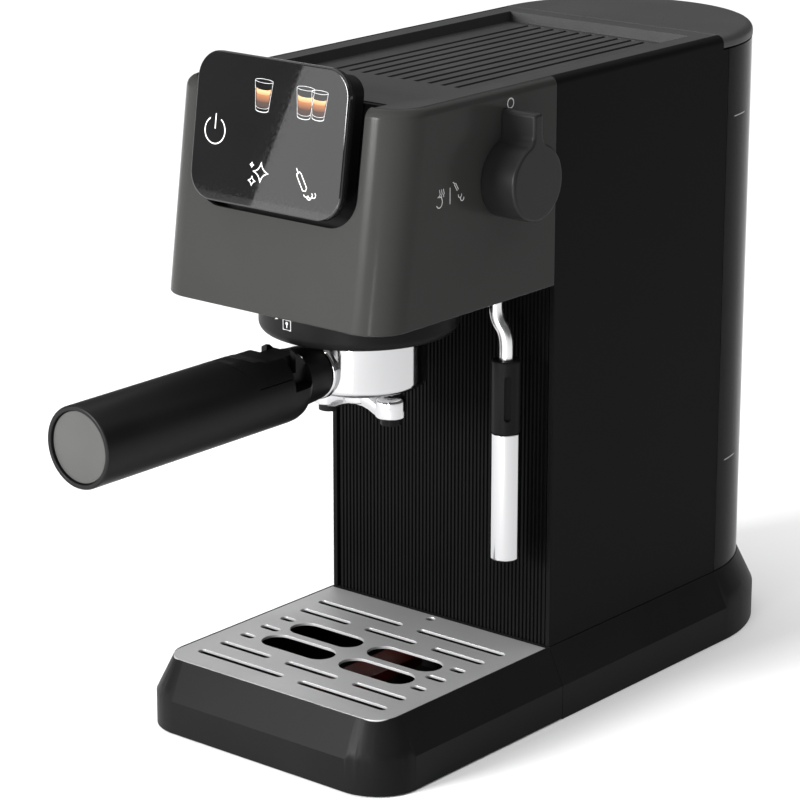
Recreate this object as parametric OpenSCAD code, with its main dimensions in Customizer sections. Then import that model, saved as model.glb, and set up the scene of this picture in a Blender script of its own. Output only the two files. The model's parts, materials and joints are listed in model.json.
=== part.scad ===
// Slim espresso machine. Millimetres, +Z up, the front faces -Y, the control knob is on +X.
// The origin is on the resting plane, in the middle between the sides.

/* [Body] */
// Width of the body across its side panels
body_w = 129; // [120:1:140]
// Height of the body's top rim
body_top = 294.5; // [288:0.5:300]
// Distance of the body's front face in front of the origin
body_front = 40.5; // [36:0.5:44]
// Distance of the centre of the round rear behind the origin
rear_centre = 90.5; // [88:0.5:94]
// Thickness of the body's panels
wall = 2.5; // [2:0.1:3]
// Radius of the rolled top edge
roll_r = 4; // [3:0.5:5]

/* [Base] */
// Width of the base
base_w = 145.4; // [142:0.2:150]
// Distance of the base's front in front of the origin
base_front = 167; // [160:1:172]
// Height of the base
base_h = 32.7; // [30:0.1:34]
// Height of the base's upright band, below its sloping shoulder
band_h = 16; // [12:0.5:18]
// How far the shoulder slopes inwards
shoulder = 8.1; // [7.5:0.1:8.4]
// Radius of the base's front corners
base_corner_r = 22; // [18:1:25]

/* [Head] */
// Height of the head's lower edge
head_bottom = 201.7; // [199:0.1:204]
// Distance of the head's lower front edge in front of the origin
head_front = 158.2; // [154:0.2:160]
// Backward tilt of the head's front, in degrees
head_tilt = 8.2; // [6:0.1:9]
// Radius of the head's front corners
head_corner_r = 17.2; // [14:0.2:19]
// Width of the control panel
panel_w = 84.3; // [80:0.1:88]
// Height of the control panel
panel_h = 63.6; // [60:0.1:66]
// Radius of the control panel's corners
panel_r = 12; // [8:0.5:14]

/* [Coffee group] */
// Distance of the group's axis in front of the origin
group_y = 96.3; // [95:0.1:98]
// Radius of the collar round the group
collar_r = 44.2; // [43:0.1:45]
// Radius of the portafilter's bowl
bowl_r = 30.1; // [29.6:0.1:30.6]
// Radius of the handle
handle_r = 17.5; // [16:0.1:18]
// Distance of the handle's end in front of the origin
handle_end = 270; // [260:1:290]

/* [Water tank] */
// Height of the tank's rim
tank_top = 288; // [286:0.2:288]
// Thickness of the tank's wall
tank_wall = 2.2; // [1.8:0.1:2.6]

/* [Steam] */
// Radius of the steam knob
knob_r = 16.9; // [15:0.1:18]
// Outer radius of the frothing sleeve
sleeve_r = 6.5; // [6:0.1:7]

/* [Hidden] */
$fn = 96;
eps = 0.01;
far = 400;
gap = 0.3;

body_hw = body_w / 2;
base_hw = base_w / 2;
inner_hw = body_hw - wall;
seam_y = -body_front;
// The top cover and the lid meet here
lid_front = 86.3;
rim_hw = body_hw - roll_r - 0.2;

// Base
base_wall = 2.6;
base_lid_t = 2.5;
plate_z = [1, 3.6];
tongue_hw = 48;
tongue_front = 150;
foot_r = 7;
foot_stem_r = 2.5;
front_foot = [38, -138];
rear_foot = [42, 112];
feet_at = [for (x = [-1, 1], f = [front_foot, rear_foot]) [x * f[0], f[1]]];
screw_r = 1.5;
boss_r = 4;
base_screws_at = [for (x = [-1, 1], p = [[54, 10], [30, 136]]) [x * p[0], p[1]]];
gland_z = 10.2;
gland_r = 4.9;
gland_rim_r = 6;
cord_r = 3.6;
drain_at = [20, -26];
suction_at = [34, 74];

// Drip tray and grille
tray_rear = body_front + gap;
tray_wall = 3;
tray_floor = [4.6, 7];
grille_t = 1.2;
grille_hw = 63.6;
grille_front = 158.4;
grille_rear = 42.2;
grille_corner_r = 11.2;
slot_w = 4.3;
slot_pitch = 13.75;
slot_mid_y = -102.7;
oval_half = 20;
oval_w = 15;
oval_x = 23.1;
float_hw = 8.5;
float_y = [-125, -57];
float_z = [17, 22];
float_pin = [0, -46.4];
float_pin_r = 1.8;
float_rests = [-115, -67];

// Front panel ribs
rib_pitch = 2.1;
rib_depth = 0.8;
front_panel_hw = 60.8;
front_panel_y = seam_y + 1.2;

// Top cover
top_plate_z = body_top - 8.5;
cup_floor = 289.4;
cup_hw = 51.6;
cup_y = [-118, 76];
groove_y = [-67, 73];
groove_pitch = 7.5;
groove_w = 2.6;
groove_depth = 1.6;
groove_count = 11;

// Head
head_wall = 2.4;
head_floor_t = 2.5;
cutout_v = 42.1;
cutout_hw = 45.2;
cutout_r = 14.6;
panel_v = 45.1;
panel_n = 7.3;
glass_t = 2.6;
bezel_t = 2;
boss_hw = 38;

// Coffee group
collar_z = [184, head_bottom];
group_r = 34;
group_z = [184.4, 213];
cavity_r = 30.9;
cavity_top = 199;
ledge_r = 28.6;
ledge_t = 3;
ear_r = 30.5;
ear_arc = 40;
ledge_arc = 44;
ear_z = [187.8, 190.6];
rim_r = 28.2;
bowl_z = [159.1, 183.6];
rim_top = 192;
bowl_bore_r = 26.9;
basket_r = 26.5;
basket_wall = 0.6;
basket_z = [167, 192.8];
gasket_z = [193.2, 199];
gasket_r = [25.4, 30.6];
screen_r = 24.9;
screen_z = [195.4, 196.6];
spout_x = 18;
spout_r = 6.9;
spout_z = [146.2, 156.5];
nozzle_bottom = 142.6;
handle_z = 170.3;
barrel_start = 147;
neck_end = 143;
neck_r = [12, 13.3];
cap_r = 15.2;
cap_depth = 3;
hollow_start = 190;
hollow_r = 10;
stud_r = 3;
// The basket clip is a flap cut out of the top of the handle
clip_y = [-186, -157.4];
clip_z = [176.9, 185.4];
clip_pin_at = [-146, 181.6];
clip_pin_r = 1.4;
clip_eye_r = 2.3;
tongue_half = 6.5;
lug_half = 9.8;
notch_bottom = 171;

// Steam
knob_at = [-76.4, 256.7];
knob_x = [body_hw + 0.4, 82.6];
knob_tab_w = 6;
knob_tab_len = 29.7;
shaft_r = 3;
ball_at = [46.3, -58.5, 210.5];
ball_r = 5.5;
pipe_r = 3.1;
wand_at = [50.9, -56.6];
bend_z = [188, 181];
grip_z = [136.2, 169.4];
sleeve_z = [77.3, 136];
pipe_end = 100;

// Tank
tank_front = 91;
tank_z = [33, tank_top];
tank_floor = 38.5;
lid_z = [288.5, body_top];
nose_r = (lid_z[1] - lid_z[0]) / 2;
nose_at = [lid_front + nose_r, lid_z[0] + nose_r];
ear_x = 35;
ear_hw = 4;
hinge_pin_r = 1.2;
valve_at = [0, 110];
socket_r = 12.8;
boss_outer_r = 10.7;
valve_seat_z = [32.6, 34];
valve_cage_top = 45;

// Inside
pump_at = [52, 70];
pump_len = 96;
pump_r = 9;
coil_size = [40, 34, 34];
block_x = 30;
block_y = [-128, -64];
block_z = [213.2, 240];
block_screw_x = [-24, 24];
block_screw_y = [-122, -70];
rod_x = 12;
port_x = 20;
port_y = -80;
port_top = block_z[1] + 8.2;
hose_r = 3;
hose_bore_r = 2.2;
bend_swell = 0.15;

// ---------- shared shapes ----------

// A box from one corner to the opposite one
module span(from, to) {
    translate(from) cube(to - from);
}

// A straight bar of round section between two points
module bar(from, to, r) {
    run = to - from;
    len = norm(run);
    turn = atan2(run[1], run[0]);
    lean = acos(run[2] / len);
    translate(from) rotate([0, lean, turn]) cylinder(h = len, r = r);
}

// A round rod through a list of points, a little fuller at each bend
module run_through(points, r) {
    for (i = [0 : len(points) - 2]) bar(points[i], points[i + 1], r);
    for (i = [1 : len(points) - 2]) translate(points[i]) sphere(r = r + bend_swell);
}

// A ring standing on z
module ring(r_out, r_in, z) {
    translate([0, 0, z[0]]) difference() {
        cylinder(h = z[1] - z[0], r = r_out);
        translate([0, 0, -1]) cylinder(h = z[1] - z[0] + 2, r = r_in);
    }
}

// A disc standing on z
module disc(r, z) {
    translate([0, 0, z[0]]) cylinder(h = z[1] - z[0], r = r);
}

// A round peg, or the hole for one, that runs along +X from a point
module peg_x(from, h, r) {
    translate(from) rotate([0, 90, 0]) cylinder(h = h, r = r);
}

// A slot with round ends along X
module slot_2d(half, w) {
    square([2 * half - w, w], center = true);
    for (x = [-1, 1]) translate([x * (half - w / 2), 0]) circle(d = w);
}

// A rectangle with four round corners, centred
module rounded_2d(w, h, r) {
    square([w - 2 * r, h], center = true);
    square([w, h - 2 * r], center = true);
    for (x = [-1, 1], y = [-1, 1]) translate([x * (w / 2 - r), y * (h / 2 - r)]) circle(r = r);
}

// The base's outline drawn in by low at its lower face and by high at its upper face
module base_block(z, low, high) {
    h = z[1] - z[0];
    flat_hw = base_hw - base_corner_r;
    front_y = base_corner_r - base_front;
    translate([0, rear_centre, z[0]]) cylinder(h = h, r1 = base_hw - low, r2 = base_hw - high);
    for (x = [-1, 1]) translate([x * flat_hw, front_y, z[0]])
        cylinder(h = h, r1 = base_corner_r - low, r2 = base_corner_r - high);
    translate([0, rear_centre, 0]) rotate([90, 0, 0]) linear_extrude(rear_centre - front_y)
        polygon([
            [low - base_hw, z[0]], [base_hw - low, z[0]],
            [base_hw - high, z[1]], [high - base_hw, z[1]]
        ]);
    rotate([90, 0, 90]) translate([0, 0, -flat_hw]) linear_extrude(2 * flat_hw)
        polygon([
            [low - base_front, z[0]], [rear_centre, z[0]],
            [rear_centre, z[1]], [high - base_front, z[1]]
        ]);
}

// The solid form of the base, drawn in all over by inset
module base_form(inset, z) {
    if (z[0] < band_h) base_block([z[0], band_h], inset, inset);
    base_block([max(band_h, z[0]), z[1]], inset, inset + shoulder * (z[1] - band_h) / (base_h - band_h));
}

// The body's D-shaped plan behind a given Y
module rear_plan(r, from_y) {
    intersection() {
        translate([0, rear_centre]) circle(r = r);
        translate([-far / 2, from_y]) square([far, far]);
    }
}

// Puts children on the head's sloping front: x across, y up the slope, z outwards
module on_head_front() {
    translate([0, -head_front, head_bottom]) rotate([90 - head_tilt, 0, 0]) children();
}

// The solid form of the head, drawn in by inset
module head_form(inset, z, rear = seam_y) {
    hw = body_hw - inset;
    r = head_corner_r - inset;
    intersection() {
        translate([0, -head_front, head_bottom]) rotate([-head_tilt, 0, 0])
            translate([0, 0, -far / 2]) linear_extrude(far) {
                translate([-hw + r, inset]) square([2 * (hw - r), far]);
                translate([-hw, inset + r]) square([2 * hw, far]);
                for (x = [-1, 1]) translate([x * (hw - r), inset + r]) circle(r = r);
            }
        span([-far, -far, z[0]], [far, rear, z[1]]);
    }
}

// Moves children to the coffee group's axis
module at_group() {
    translate([0, -group_y, 0]) children();
}

// Puts children along the handle: local z runs to the front
module along_handle() {
    translate([0, 0, handle_z]) rotate([90, 0, 0]) children();
}

// A pie-shaped sector of a ring, centred on a direction
module ring_arc(r_out, r_in, z, arc, turn) {
    rotate([0, 0, turn - arc / 2]) translate([0, 0, z[0]])
        rotate_extrude(angle = arc) translate([r_in, 0]) square([r_out - r_in, z[1] - z[0]]);
}

// ---------- base ----------

module base_housing() {
    color("#26272a") difference() {
        intersection() {
            base_form(0, [0, base_h]);
            span([-far, seam_y, -1], [far, far, far]);
        }
        difference() {
            intersection() {
                base_form(base_wall, [-1, base_h - base_lid_t]);
                span([-far, seam_y + base_wall, -2], [far, far, far]);
            }
            for (p = base_screws_at) translate([p[0], p[1], plate_z[1] + 0.1])
                cylinder(h = base_h, r = boss_r);
        }
        for (p = base_screws_at) translate([p[0], p[1], -1]) cylinder(h = 14, r = screw_r);
        span([-tongue_hw - 1, seam_y - 1, -1], [tongue_hw + 1, seam_y + base_wall + 1, plate_z[1] + 0.4]);
        translate([valve_at[0], valve_at[1], -1]) cylinder(h = base_h + 2, r = socket_r + 0.1);
        translate([0, far, gland_z]) rotate([90, 0, 0]) {
            cylinder(h = far - rear_centre - 20, r = gland_r + 0.1);
            cylinder(h = far - rear_centre - base_hw + 0.7, r = gland_rim_r + 0.1);
        }
        translate([drain_at[0], drain_at[1], base_h - 6]) cylinder(h = 8, r = hose_r + 0.2);
        translate([suction_at[0], suction_at[1], base_h - 6]) cylinder(h = 8, r = hose_r + 0.2);
    }
}

module base_bottom() {
    color("#202124") difference() {
        union() {
            intersection() {
                base_block(plate_z, base_wall + 0.2, base_wall + 0.2);
                span([-far, seam_y + base_wall + 0.2, 0], [far, far, 10]);
            }
            span([-tongue_hw, -tongue_front, plate_z[0]], [tongue_hw, 0, plate_z[1]]);
        }
        for (p = feet_at) translate([p[0], p[1], 0]) cylinder(h = 10, r = foot_stem_r + 0.05);
        for (p = base_screws_at) {
            translate([p[0], p[1], 0]) cylinder(h = 10, r = screw_r + 0.1);
            translate([p[0], p[1], 0]) cylinder(h = 2.2, r = 3.1);
        }
    }
}

module rubber_feet() {
    color("#101010") for (p = feet_at) translate([p[0], p[1], 0]) {
        cylinder(h = plate_z[0], r = foot_r);
        cylinder(h = plate_z[1], r = foot_stem_r);
    }
}

module base_screws() {
    color("#b8b9bb") for (p = base_screws_at) translate([p[0], p[1], 1.1]) {
        cylinder(h = 1.1, r = 2.9);
        cylinder(h = 10, r = screw_r);
    }
}

module cord_gland() {
    outside = base_hw + rear_centre;
    color("#151515") translate([0, outside, gland_z]) rotate([90, 0, 0]) difference() {
        union() {
            translate([0, 0, -1.6]) cylinder(h = 2.2, r = gland_rim_r);
            cylinder(h = 7, r = gland_r);
            translate([0, 0, base_wall + 0.5]) cylinder(h = 1.6, r = gland_rim_r);
        }
        translate([0, 0, -5]) cylinder(h = 20, r = cord_r);
    }
}

// ---------- drip tray ----------

module drip_tray() {
    color("#26272a") {
        difference() {
            intersection() {
                base_form(0, [0.6, base_h]);
                span([-far, -far, 0], [far, -tray_rear, far]);
            }
            intersection() {
                base_form(tray_wall, [tray_floor[1], base_h + 1]);
                span([-far, -far, 0], [far, -tray_rear - tray_wall, far]);
            }
            span(
                [-tongue_hw - 1.5, -tongue_front - 1.5, 0],
                [tongue_hw + 1.5, 0, tray_floor[0]]
            );
            translate([0, 0, base_h - grille_t - 0.1]) linear_extrude(far) grille_outline(0.2);
        }
        for (y = float_rests) span([-6, y - 1.5, tray_floor[1]], [6, y + 1.5, float_z[0] - 0.1]);
    }
}

// The grille's outline, grown by extra
module grille_outline(extra) {
    hw = grille_hw + extra;
    r = grille_corner_r;
    front = -grille_front - extra;
    rear = -grille_rear + extra;
    translate([-hw, front + r]) square([2 * hw, rear - front - r]);
    translate([-hw + r, front]) square([2 * (hw - r), r + 1]);
    for (x = [-1, 1]) translate([x * (hw - r), front + r]) circle(r = r);
}

// One slot of the grille from one X to another, in a given row
module grille_slot(x_from, x_to, row) {
    translate([(x_from + x_to) / 2, slot_mid_y + row * slot_pitch]) slot_2d((x_to - x_from) / 2, slot_w);
}

module drip_grille() {
    color("#cfd0d1") translate([0, 0, base_h - grille_t]) linear_extrude(grille_t) difference() {
        grille_outline(0);
        for (side = [0, 1]) mirror([side, 0]) {
            for (row = [-3, 3]) grille_slot(4.7, 55, row);
            for (row = [-2, 2]) grille_slot(24.5, 54.2, row);
            for (row = [-1, 0, 1]) grille_slot(46.4 - (row == 0 ? 2.9 : 0), 54.4, row);
            for (y = [-1, 1]) translate([oval_x, slot_mid_y + y * 9.75]) slot_2d(oval_half, oval_w);
        }
        for (row = [-2, 2]) grille_slot(-15, 15, row);
        translate(float_pin) circle(r = 2.2);
    }
}

module float_indicator() {
    mid_y = (float_y[0] + float_y[1]) / 2;
    half = (float_y[1] - float_y[0]) / 2;
    color("#c0261c") {
        translate([0, mid_y, float_z[0]]) linear_extrude(float_z[1] - float_z[0])
            rotate([0, 0, 90]) slot_2d(half, 2 * float_hw);
        span([-2.5, float_y[1] - 4, float_z[0]], [2.5, float_pin[1], float_z[0] + 2.5]);
        translate([float_pin[0], float_pin[1], float_z[0]])
            cylinder(h = base_h - grille_t - float_z[0] - 0.4, r = float_pin_r);
    }
}

// ---------- body ----------

// Section of a side panel: an upright plate with a rolled top edge
module side_section() {
    plate_top = body_top - roll_r;
    translate([inner_hw, base_h + 0.2]) square([wall, plate_top - base_h - 0.2]);
    translate([body_hw - roll_r, plate_top]) intersection() {
        circle(r = roll_r);
        square(roll_r);
    }
}

// The right-hand side panel; the left one is its mirror image
module side_panel() {
    low_top = lid_z[0] - 0.5;
    difference() {
        union() {
            translate([0, lid_front - gap, 0]) rotate([90, 0, 0])
                linear_extrude(lid_front - gap - seam_y - 0.1) side_section();
            span([inner_hw, lid_front - 1, base_h + 0.2], [body_hw, rear_centre, low_top]);
            span([front_panel_hw - 4, seam_y + 4, base_h + 0.2], [inner_hw + eps, seam_y + 6, head_bottom]);
        }
        span([0, seam_y - 1, head_bottom - gap], [far, seam_y + 0.1, far]);
    }
}

module left_side_panel() {
    color("#1c1d1f") mirror([1, 0, 0]) side_panel();
}

module right_side_panel() {
    color("#1c1d1f") side_panel();
}

module front_panel() {
    rib_count = floor(2 * front_panel_hw / rib_pitch);
    crests = [for (i = [0 : rib_count - 1], p = [[0.15, 1], [0.55, 1], [0.7, 0], [1, 0]])
        [(i + p[0] - rib_count / 2) * rib_pitch, -rib_depth * p[1]]];
    color("#141516") translate([0, front_panel_y, base_h + 0.2]) linear_extrude(head_bottom - base_h - 0.4)
        polygon(concat(crests, [[front_panel_hw, 0], [front_panel_hw, 2.4], [-front_panel_hw, 2.4],
            [-front_panel_hw, 0]]));
}

module rear_inner_wall() {
    top = lid_z[0] - 0.5;
    hole_at = [46, 255];
    color("#17181a") difference() {
        span([-inner_hw + 0.1, lid_front, base_h + 0.2], [inner_hw - 0.1, lid_front + 2.4, top]);
        for (x = [-1, 1]) translate([x * hole_at[0], lid_front - 1, hole_at[1]]) rotate([-90, 0, 0])
            cylinder(h = 5, r = 1.7);
    }
}

module top_cover() {
    front = 132;
    rear = lid_front - gap;
    color("#3a3b3d") difference() {
        intersection() {
            span([-rim_hw, -far, top_plate_z], [rim_hw, rear, body_top - 0.2]);
            union() {
                head_form(roll_r + 0.3, [top_plate_z - 1, body_top]);
                span([-far, seam_y - eps, 0], [far, far, far]);
            }
        }
        span([-cutout_hw - 1, -far, 0], [cutout_hw + 1, -front, far]);
        span([-cup_hw, cup_y[0], cup_floor], [cup_hw, cup_y[1], far]);
        for (i = [0 : groove_count - 1]) {
            x = (i - (groove_count - 1) / 2) * groove_pitch;
            span(
                [x - groove_w / 2, groove_y[0], cup_floor - groove_depth],
                [x + groove_w / 2, groove_y[1], far]
            );
        }
        span([-rim_hw + 3, seam_y - 60, 0], [rim_hw - 3, rear - 3, top_plate_z + 1.6]);
    }
}

// ---------- head ----------

module head_cover() {
    color("#4a4b4d") difference() {
        head_form(0, [head_bottom, body_top]);
        head_form(head_wall, [head_bottom - 1, body_top - roll_r - 3], seam_y + 1);
        head_form(roll_r + 0.1, [head_bottom, body_top + 1], seam_y + 1);
        on_head_front() translate([0, cutout_v, -head_corner_r]) linear_extrude(far) {
            translate([-cutout_hw, cutout_r]) square([2 * cutout_hw, far]);
            translate([-cutout_hw + cutout_r, 0]) square([2 * (cutout_hw - cutout_r), far]);
            for (x = [-1, 1]) translate([x * (cutout_hw - cutout_r), cutout_r]) circle(r = cutout_r);
        }
        peg_x([inner_hw - 2, knob_at[0], knob_at[1]], 10, shaft_r + 0.4);
    }
}

module head_underside() {
    z = [head_bottom + 0.4, head_bottom + 0.4 + head_floor_t];
    color("#151617") difference() {
        head_form(head_wall + 0.1, z, seam_y - 0.1);
        at_group() disc(group_r + 0.2, [0, far]);
        translate([50.5, ball_at[1], z[0] - 1]) linear_extrude(far) slot_2d(9.5, 10);
    }
}

module panel_glass() {
    color("#0b0b0d") on_head_front() translate([0, panel_v + panel_h / 2, panel_n - glass_t])
        linear_extrude(glass_t) rounded_2d(panel_w, panel_h, panel_r);
}

module panel_bezel() {
    base_n = panel_n - glass_t - bezel_t;
    depth = 10;
    color("#121214") on_head_front() translate([0, panel_v + panel_h / 2, base_n]) difference() {
        union() {
            linear_extrude(bezel_t) rounded_2d(panel_w - 1, panel_h - 1, panel_r - 0.5);
            translate([0, 2, -depth]) linear_extrude(depth + eps) rounded_2d(2 * boss_hw, panel_h - 10, 8);
        }
        translate([0, 2, -depth + 1.6]) linear_extrude(far) rounded_2d(2 * boss_hw - 4, panel_h - 14, 6);
    }
}

module panel_circuit() {
    board_n = panel_n - glass_t - 3.4;
    pads = [[-30, -2], [-4, 17], [22, 17], [-3, -13], [22, -13]];
    color("#1d5a37") on_head_front() translate([0, panel_v + panel_h / 2 + 2, board_n]) {
        translate([0, 0, -1.6]) linear_extrude(1.6) rounded_2d(2 * boss_hw - 5, panel_h - 15, 5);
        for (p = pads) translate([p[0], p[1], -eps]) cylinder(h = 2.2, r = 3);
    }
}

module panel_recess() {
    color("#0e0e10") intersection() {
        on_head_front() translate([-cutout_hw - 3, cutout_v - 4, -11.4])
            cube([2 * cutout_hw + 6, 120, 2.2]);
        head_form(head_wall + 0.3, [head_bottom, body_top - 0.3]);
        difference() {
            span([-far, -far, 0], [far, far, far]);
            span([-far, -far, top_plate_z - 0.3], [-cutout_hw - 0.6, far, far]);
            span([cutout_hw + 0.6, -far, top_plate_z - 0.3], [far, far, far]);
            span([-far, -132.4, top_plate_z - 0.3], [far, far, far]);
        }
    }
}

// ---------- water tank ----------

module water_tank() {
    r = body_hw - 0.2;
    color("#55565a", 0.6) {
        difference() {
            translate([0, 0, tank_z[0]]) linear_extrude(tank_z[1] - tank_z[0]) rear_plan(r, tank_front);
            translate([0, 0, tank_floor]) linear_extrude(far)
                rear_plan(r - tank_wall, tank_front + tank_wall);
            translate([valve_at[0], valve_at[1], 0]) cylinder(h = far, r = boss_outer_r - eps);
        }
        translate([valve_at[0], valve_at[1], 0]) {
            ring(boss_outer_r, 7, [24.5, tank_floor]);
            ring(7 + eps, 3, valve_seat_z);
            ring(9, 7, [tank_floor - 1, valve_cage_top]);
            ring(7 + eps, 2, [valve_cage_top - 1.5, valve_cage_top]);
        }
        for (x = [-1, 1]) hinge_ear(x * ear_x);
    }
}

// One of the tank's two lugs that carry the lid's hinge pins
module hinge_ear(x) {
    back_y = tank_front + tank_wall;
    difference() {
        union() {
            span([x - ear_hw, nose_at[0], lid_z[0] + 0.3], [x + ear_hw, back_y, nose_at[1] + 1]);
            span([x - ear_hw, tank_front, tank_z[1] - 1], [x + ear_hw, back_y, nose_at[1]]);
            peg_x([x - ear_hw, nose_at[0], nose_at[1]], 2 * ear_hw, nose_r - 0.3);
        }
        peg_x([x - far / 2, nose_at[0], nose_at[1]], far, hinge_pin_r);
    }
}

module tank_lid() {
    lid_t = lid_z[1] - lid_z[0];
    color("#565759") difference() {
        intersection() {
            translate([0, 0, lid_z[0] - 1]) linear_extrude(lid_t + 2) {
                translate([0, rear_centre]) circle(r = body_hw);
                translate([-body_hw, lid_front - 1]) square([body_w, rear_centre - lid_front + 1]);
            }
            rotate([90, 0, 90]) translate([0, 0, -far / 2]) linear_extrude(far) {
                translate([nose_at[0], lid_z[0]]) square([far, lid_t]);
                translate(nose_at) circle(r = nose_r);
            }
        }
        translate([0, 0, lid_z[0] - 1]) linear_extrude(lid_t - 0.6) rear_plan(body_hw - 5, tank_front + 7);
        for (x = [-1, 1]) {
            span(
                [x * ear_x - ear_hw - gap, 0, lid_z[0] - 1],
                [x * ear_x + ear_hw + gap, tank_front + tank_wall + 4, far]
            );
            peg_x([x * ear_x - 10, nose_at[0], nose_at[1]], 20, hinge_pin_r + 0.06);
        }
    }
}

module lid_hinge_pins() {
    color("#c4c5c6") for (x = [-1, 1]) translate([x * ear_x - 9.5, nose_at[0], nose_at[1]])
        rotate([0, 90, 0]) cylinder(h = 19, r = hinge_pin_r);
}

module tank_valve() {
    poppet_z = [valve_seat_z[1] + 1, valve_seat_z[1] + 2.4];
    color("#d8d8d4") translate([valve_at[0], valve_at[1], 0]) {
        disc(4.6, poppet_z);
        disc(1.6, [30.4, valve_cage_top + 1]);
    }
}

module valve_spring() {
    turns = 5;
    pitch = 1.35;
    color("#c4c5c6") translate([valve_at[0], valve_at[1], 0]) for (i = [0 : turns - 1])
        translate([0, 0, valve_seat_z[1] + 3 + i * pitch]) rotate_extrude() translate([3.2, 0])
            circle(r = 0.45, $fn = 24);
}

module tank_socket() {
    color("#1b1c1e") translate([valve_at[0], valve_at[1], 0]) {
        ring(socket_r, 11, [20, base_h]);
        disc(11.2, [18, 20.4]);
        ring(socket_r + 3, socket_r - eps, [base_h - base_lid_t - 2.4, base_h - base_lid_t - 0.1]);
        disc(1.8, [20, 30.1]);
        bar([0, -11, 22.5], [0, -20, 22.5], 2.4);
    }
}

module socket_seal() {
    color("#7a2f28") translate([valve_at[0], valve_at[1], 22]) rotate_extrude()
        translate([9.6, 0]) circle(r = 1.3, $fn = 32);
}

// ---------- inside ----------

module pump() {
    color("#8c8d90") translate([0, pump_at[0], pump_at[1]]) {
        translate([-pump_len / 2, 0, 0]) rotate([0, 90, 0]) cylinder(h = pump_len, r = pump_r);
        translate([-coil_size[0] / 2, -coil_size[1] / 2, -coil_size[2] / 2]) cube(coil_size);
        translate([pump_len / 2 - 1, 0, 0]) rotate([0, 90, 0]) cylinder(h = 5, r = 2.6);
        translate([-pump_len / 2 - 8, 0, 0]) rotate([0, 90, 0]) cylinder(h = 9, r = 2.6);
    }
}

module pump_mounts() {
    color("#202020") for (x = [-1, 1]) translate([x * 36, pump_at[0], pump_at[1]])
        rotate([0, 90, 0]) difference() {
            cylinder(h = 6, r = 14, center = true);
            cylinder(h = 8, r = pump_r, center = true);
        }
}

module pump_bracket() {
    t = 1.5;
    color("#b4b5b8") difference() {
        union() {
            span([-45, pump_at[0] - 17, base_h + 0.1], [45, pump_at[0] + 17, base_h + 0.1 + t]);
            for (x = [-1, 1]) span(
                [x * 36 - t / 2, pump_at[0] - 17, base_h + 0.1],
                [x * 36 + t / 2, pump_at[0] + 17, pump_at[1] - 14]
            );
        }
        for (x = [-1, 1]) translate([x * 28, pump_at[0], 0]) cylinder(h = 60, r = 2);
    }
}

module relief_valve() {
    x = -pump_len / 2 - 7;
    color("#c9a24a") translate([x, pump_at[0], pump_at[1]]) difference() {
        union() {
            translate([-5, -8, -7]) cube([10, 16, 22]);
            translate([0, 0, 14]) cylinder(h = 6, r = 2.4);
            translate([0, -7, 0]) rotate([90, 0, 0]) cylinder(h = 8, r = 2.4);
        }
        peg_x([-1, 0, 0], 20, 2.6);
    }
}

module chassis_plate() {
    t = 1.5;
    hw = 50;
    front = 12;
    foot_end = 26;
    top = 210;
    bottom = base_h + 0.1;
    color("#a9abae") difference() {
        union() {
            span([-hw, front, bottom], [hw, front + t, top]);
            span([-hw, front, bottom], [hw, foot_end, bottom + t]);
        }
        for (x = [-36, 36], z = [80, 120, 160]) translate([x, 0, z]) rotate([-90, 0, 0])
            cylinder(h = 20, r = 8);
    }
}

module suction_hose() {
    inlet_x = pump_len / 2 + 4;
    side_x = inlet_x + 5.5;
    low_z = 22.5;
    mid_z = 45;
    color("#dcdcd8") run_through([
        [0, valve_at[1] - 20.5, low_z], [0, suction_at[1], low_z],
        [suction_at[0], suction_at[1], low_z],
        [suction_at[0], suction_at[1], mid_z], [side_x, suction_at[1], mid_z],
        [side_x, pump_at[0], mid_z], [side_x, pump_at[0], pump_at[1]], [inlet_x, pump_at[0], pump_at[1]]
    ], hose_bore_r);
}

module pressure_hose() {
    x = -pump_len / 2 - 7;
    riser_x = -36;
    over_z = 262;
    color("#e4e4e0") run_through([
        [x, pump_at[0], pump_at[1] + 20.2], [x, pump_at[0], 115], [riser_x, pump_at[0], 150],
        [riser_x, pump_at[0], over_z], [-port_x, port_y, over_z], [-port_x, port_y, port_top]
    ], hose_bore_r);
}

module steam_tube() {
    over_z = 258;
    color("#c9cacc") run_through([
        [port_x, port_y, port_top], [port_x, port_y, over_z], [block_x + 0.1, port_y, over_z]
    ], 1.8);
}

module drain_tube() {
    x = -pump_len / 2 - 7;
    low_z = 45;
    end_z = 27.5;
    color("#dcdcd8") run_through([
        [x, pump_at[0] - 15.1, pump_at[1]], [x, drain_at[1], pump_at[1]], [x, drain_at[1], low_z],
        [drain_at[0], drain_at[1], low_z], [drain_at[0], drain_at[1], end_z]
    ], hose_bore_r);
}

module thermoblock() {
    color("#9b9da0") difference() {
        union() {
            span([-block_x, block_y[0], block_z[0]], [block_x, block_y[1], block_z[1]]);
            for (x = [-port_x, port_x]) translate([x, port_y, block_z[1] - eps]) cylinder(h = 8, r = 3.4);
        }
        for (x = block_screw_x, y = block_screw_y) translate([x, y, 0]) cylinder(h = far, r = 2);
        translate([0, -group_y, block_z[1] - 7]) heater_path(3.6);
    }
}

// The bent heating rod, as a U lying on its side
module heater_path(r) {
    for (x = [-rod_x, rod_x]) translate([x, 14, 0]) rotate([90, 0, 0]) cylinder(h = 50, r = r);
}

module heating_element() {
    color("#77787a") translate([0, -group_y, block_z[1] - 7]) {
        for (x = [-rod_x, rod_x]) translate([x, 13, 0]) rotate([90, 0, 0]) cylinder(h = 48, r = 3.5);
        for (x = [-rod_x, rod_x]) translate([x, -34, 0]) rotate([90, 0, 0]) cylinder(h = 5, r = 1.5);
    }
}

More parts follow.
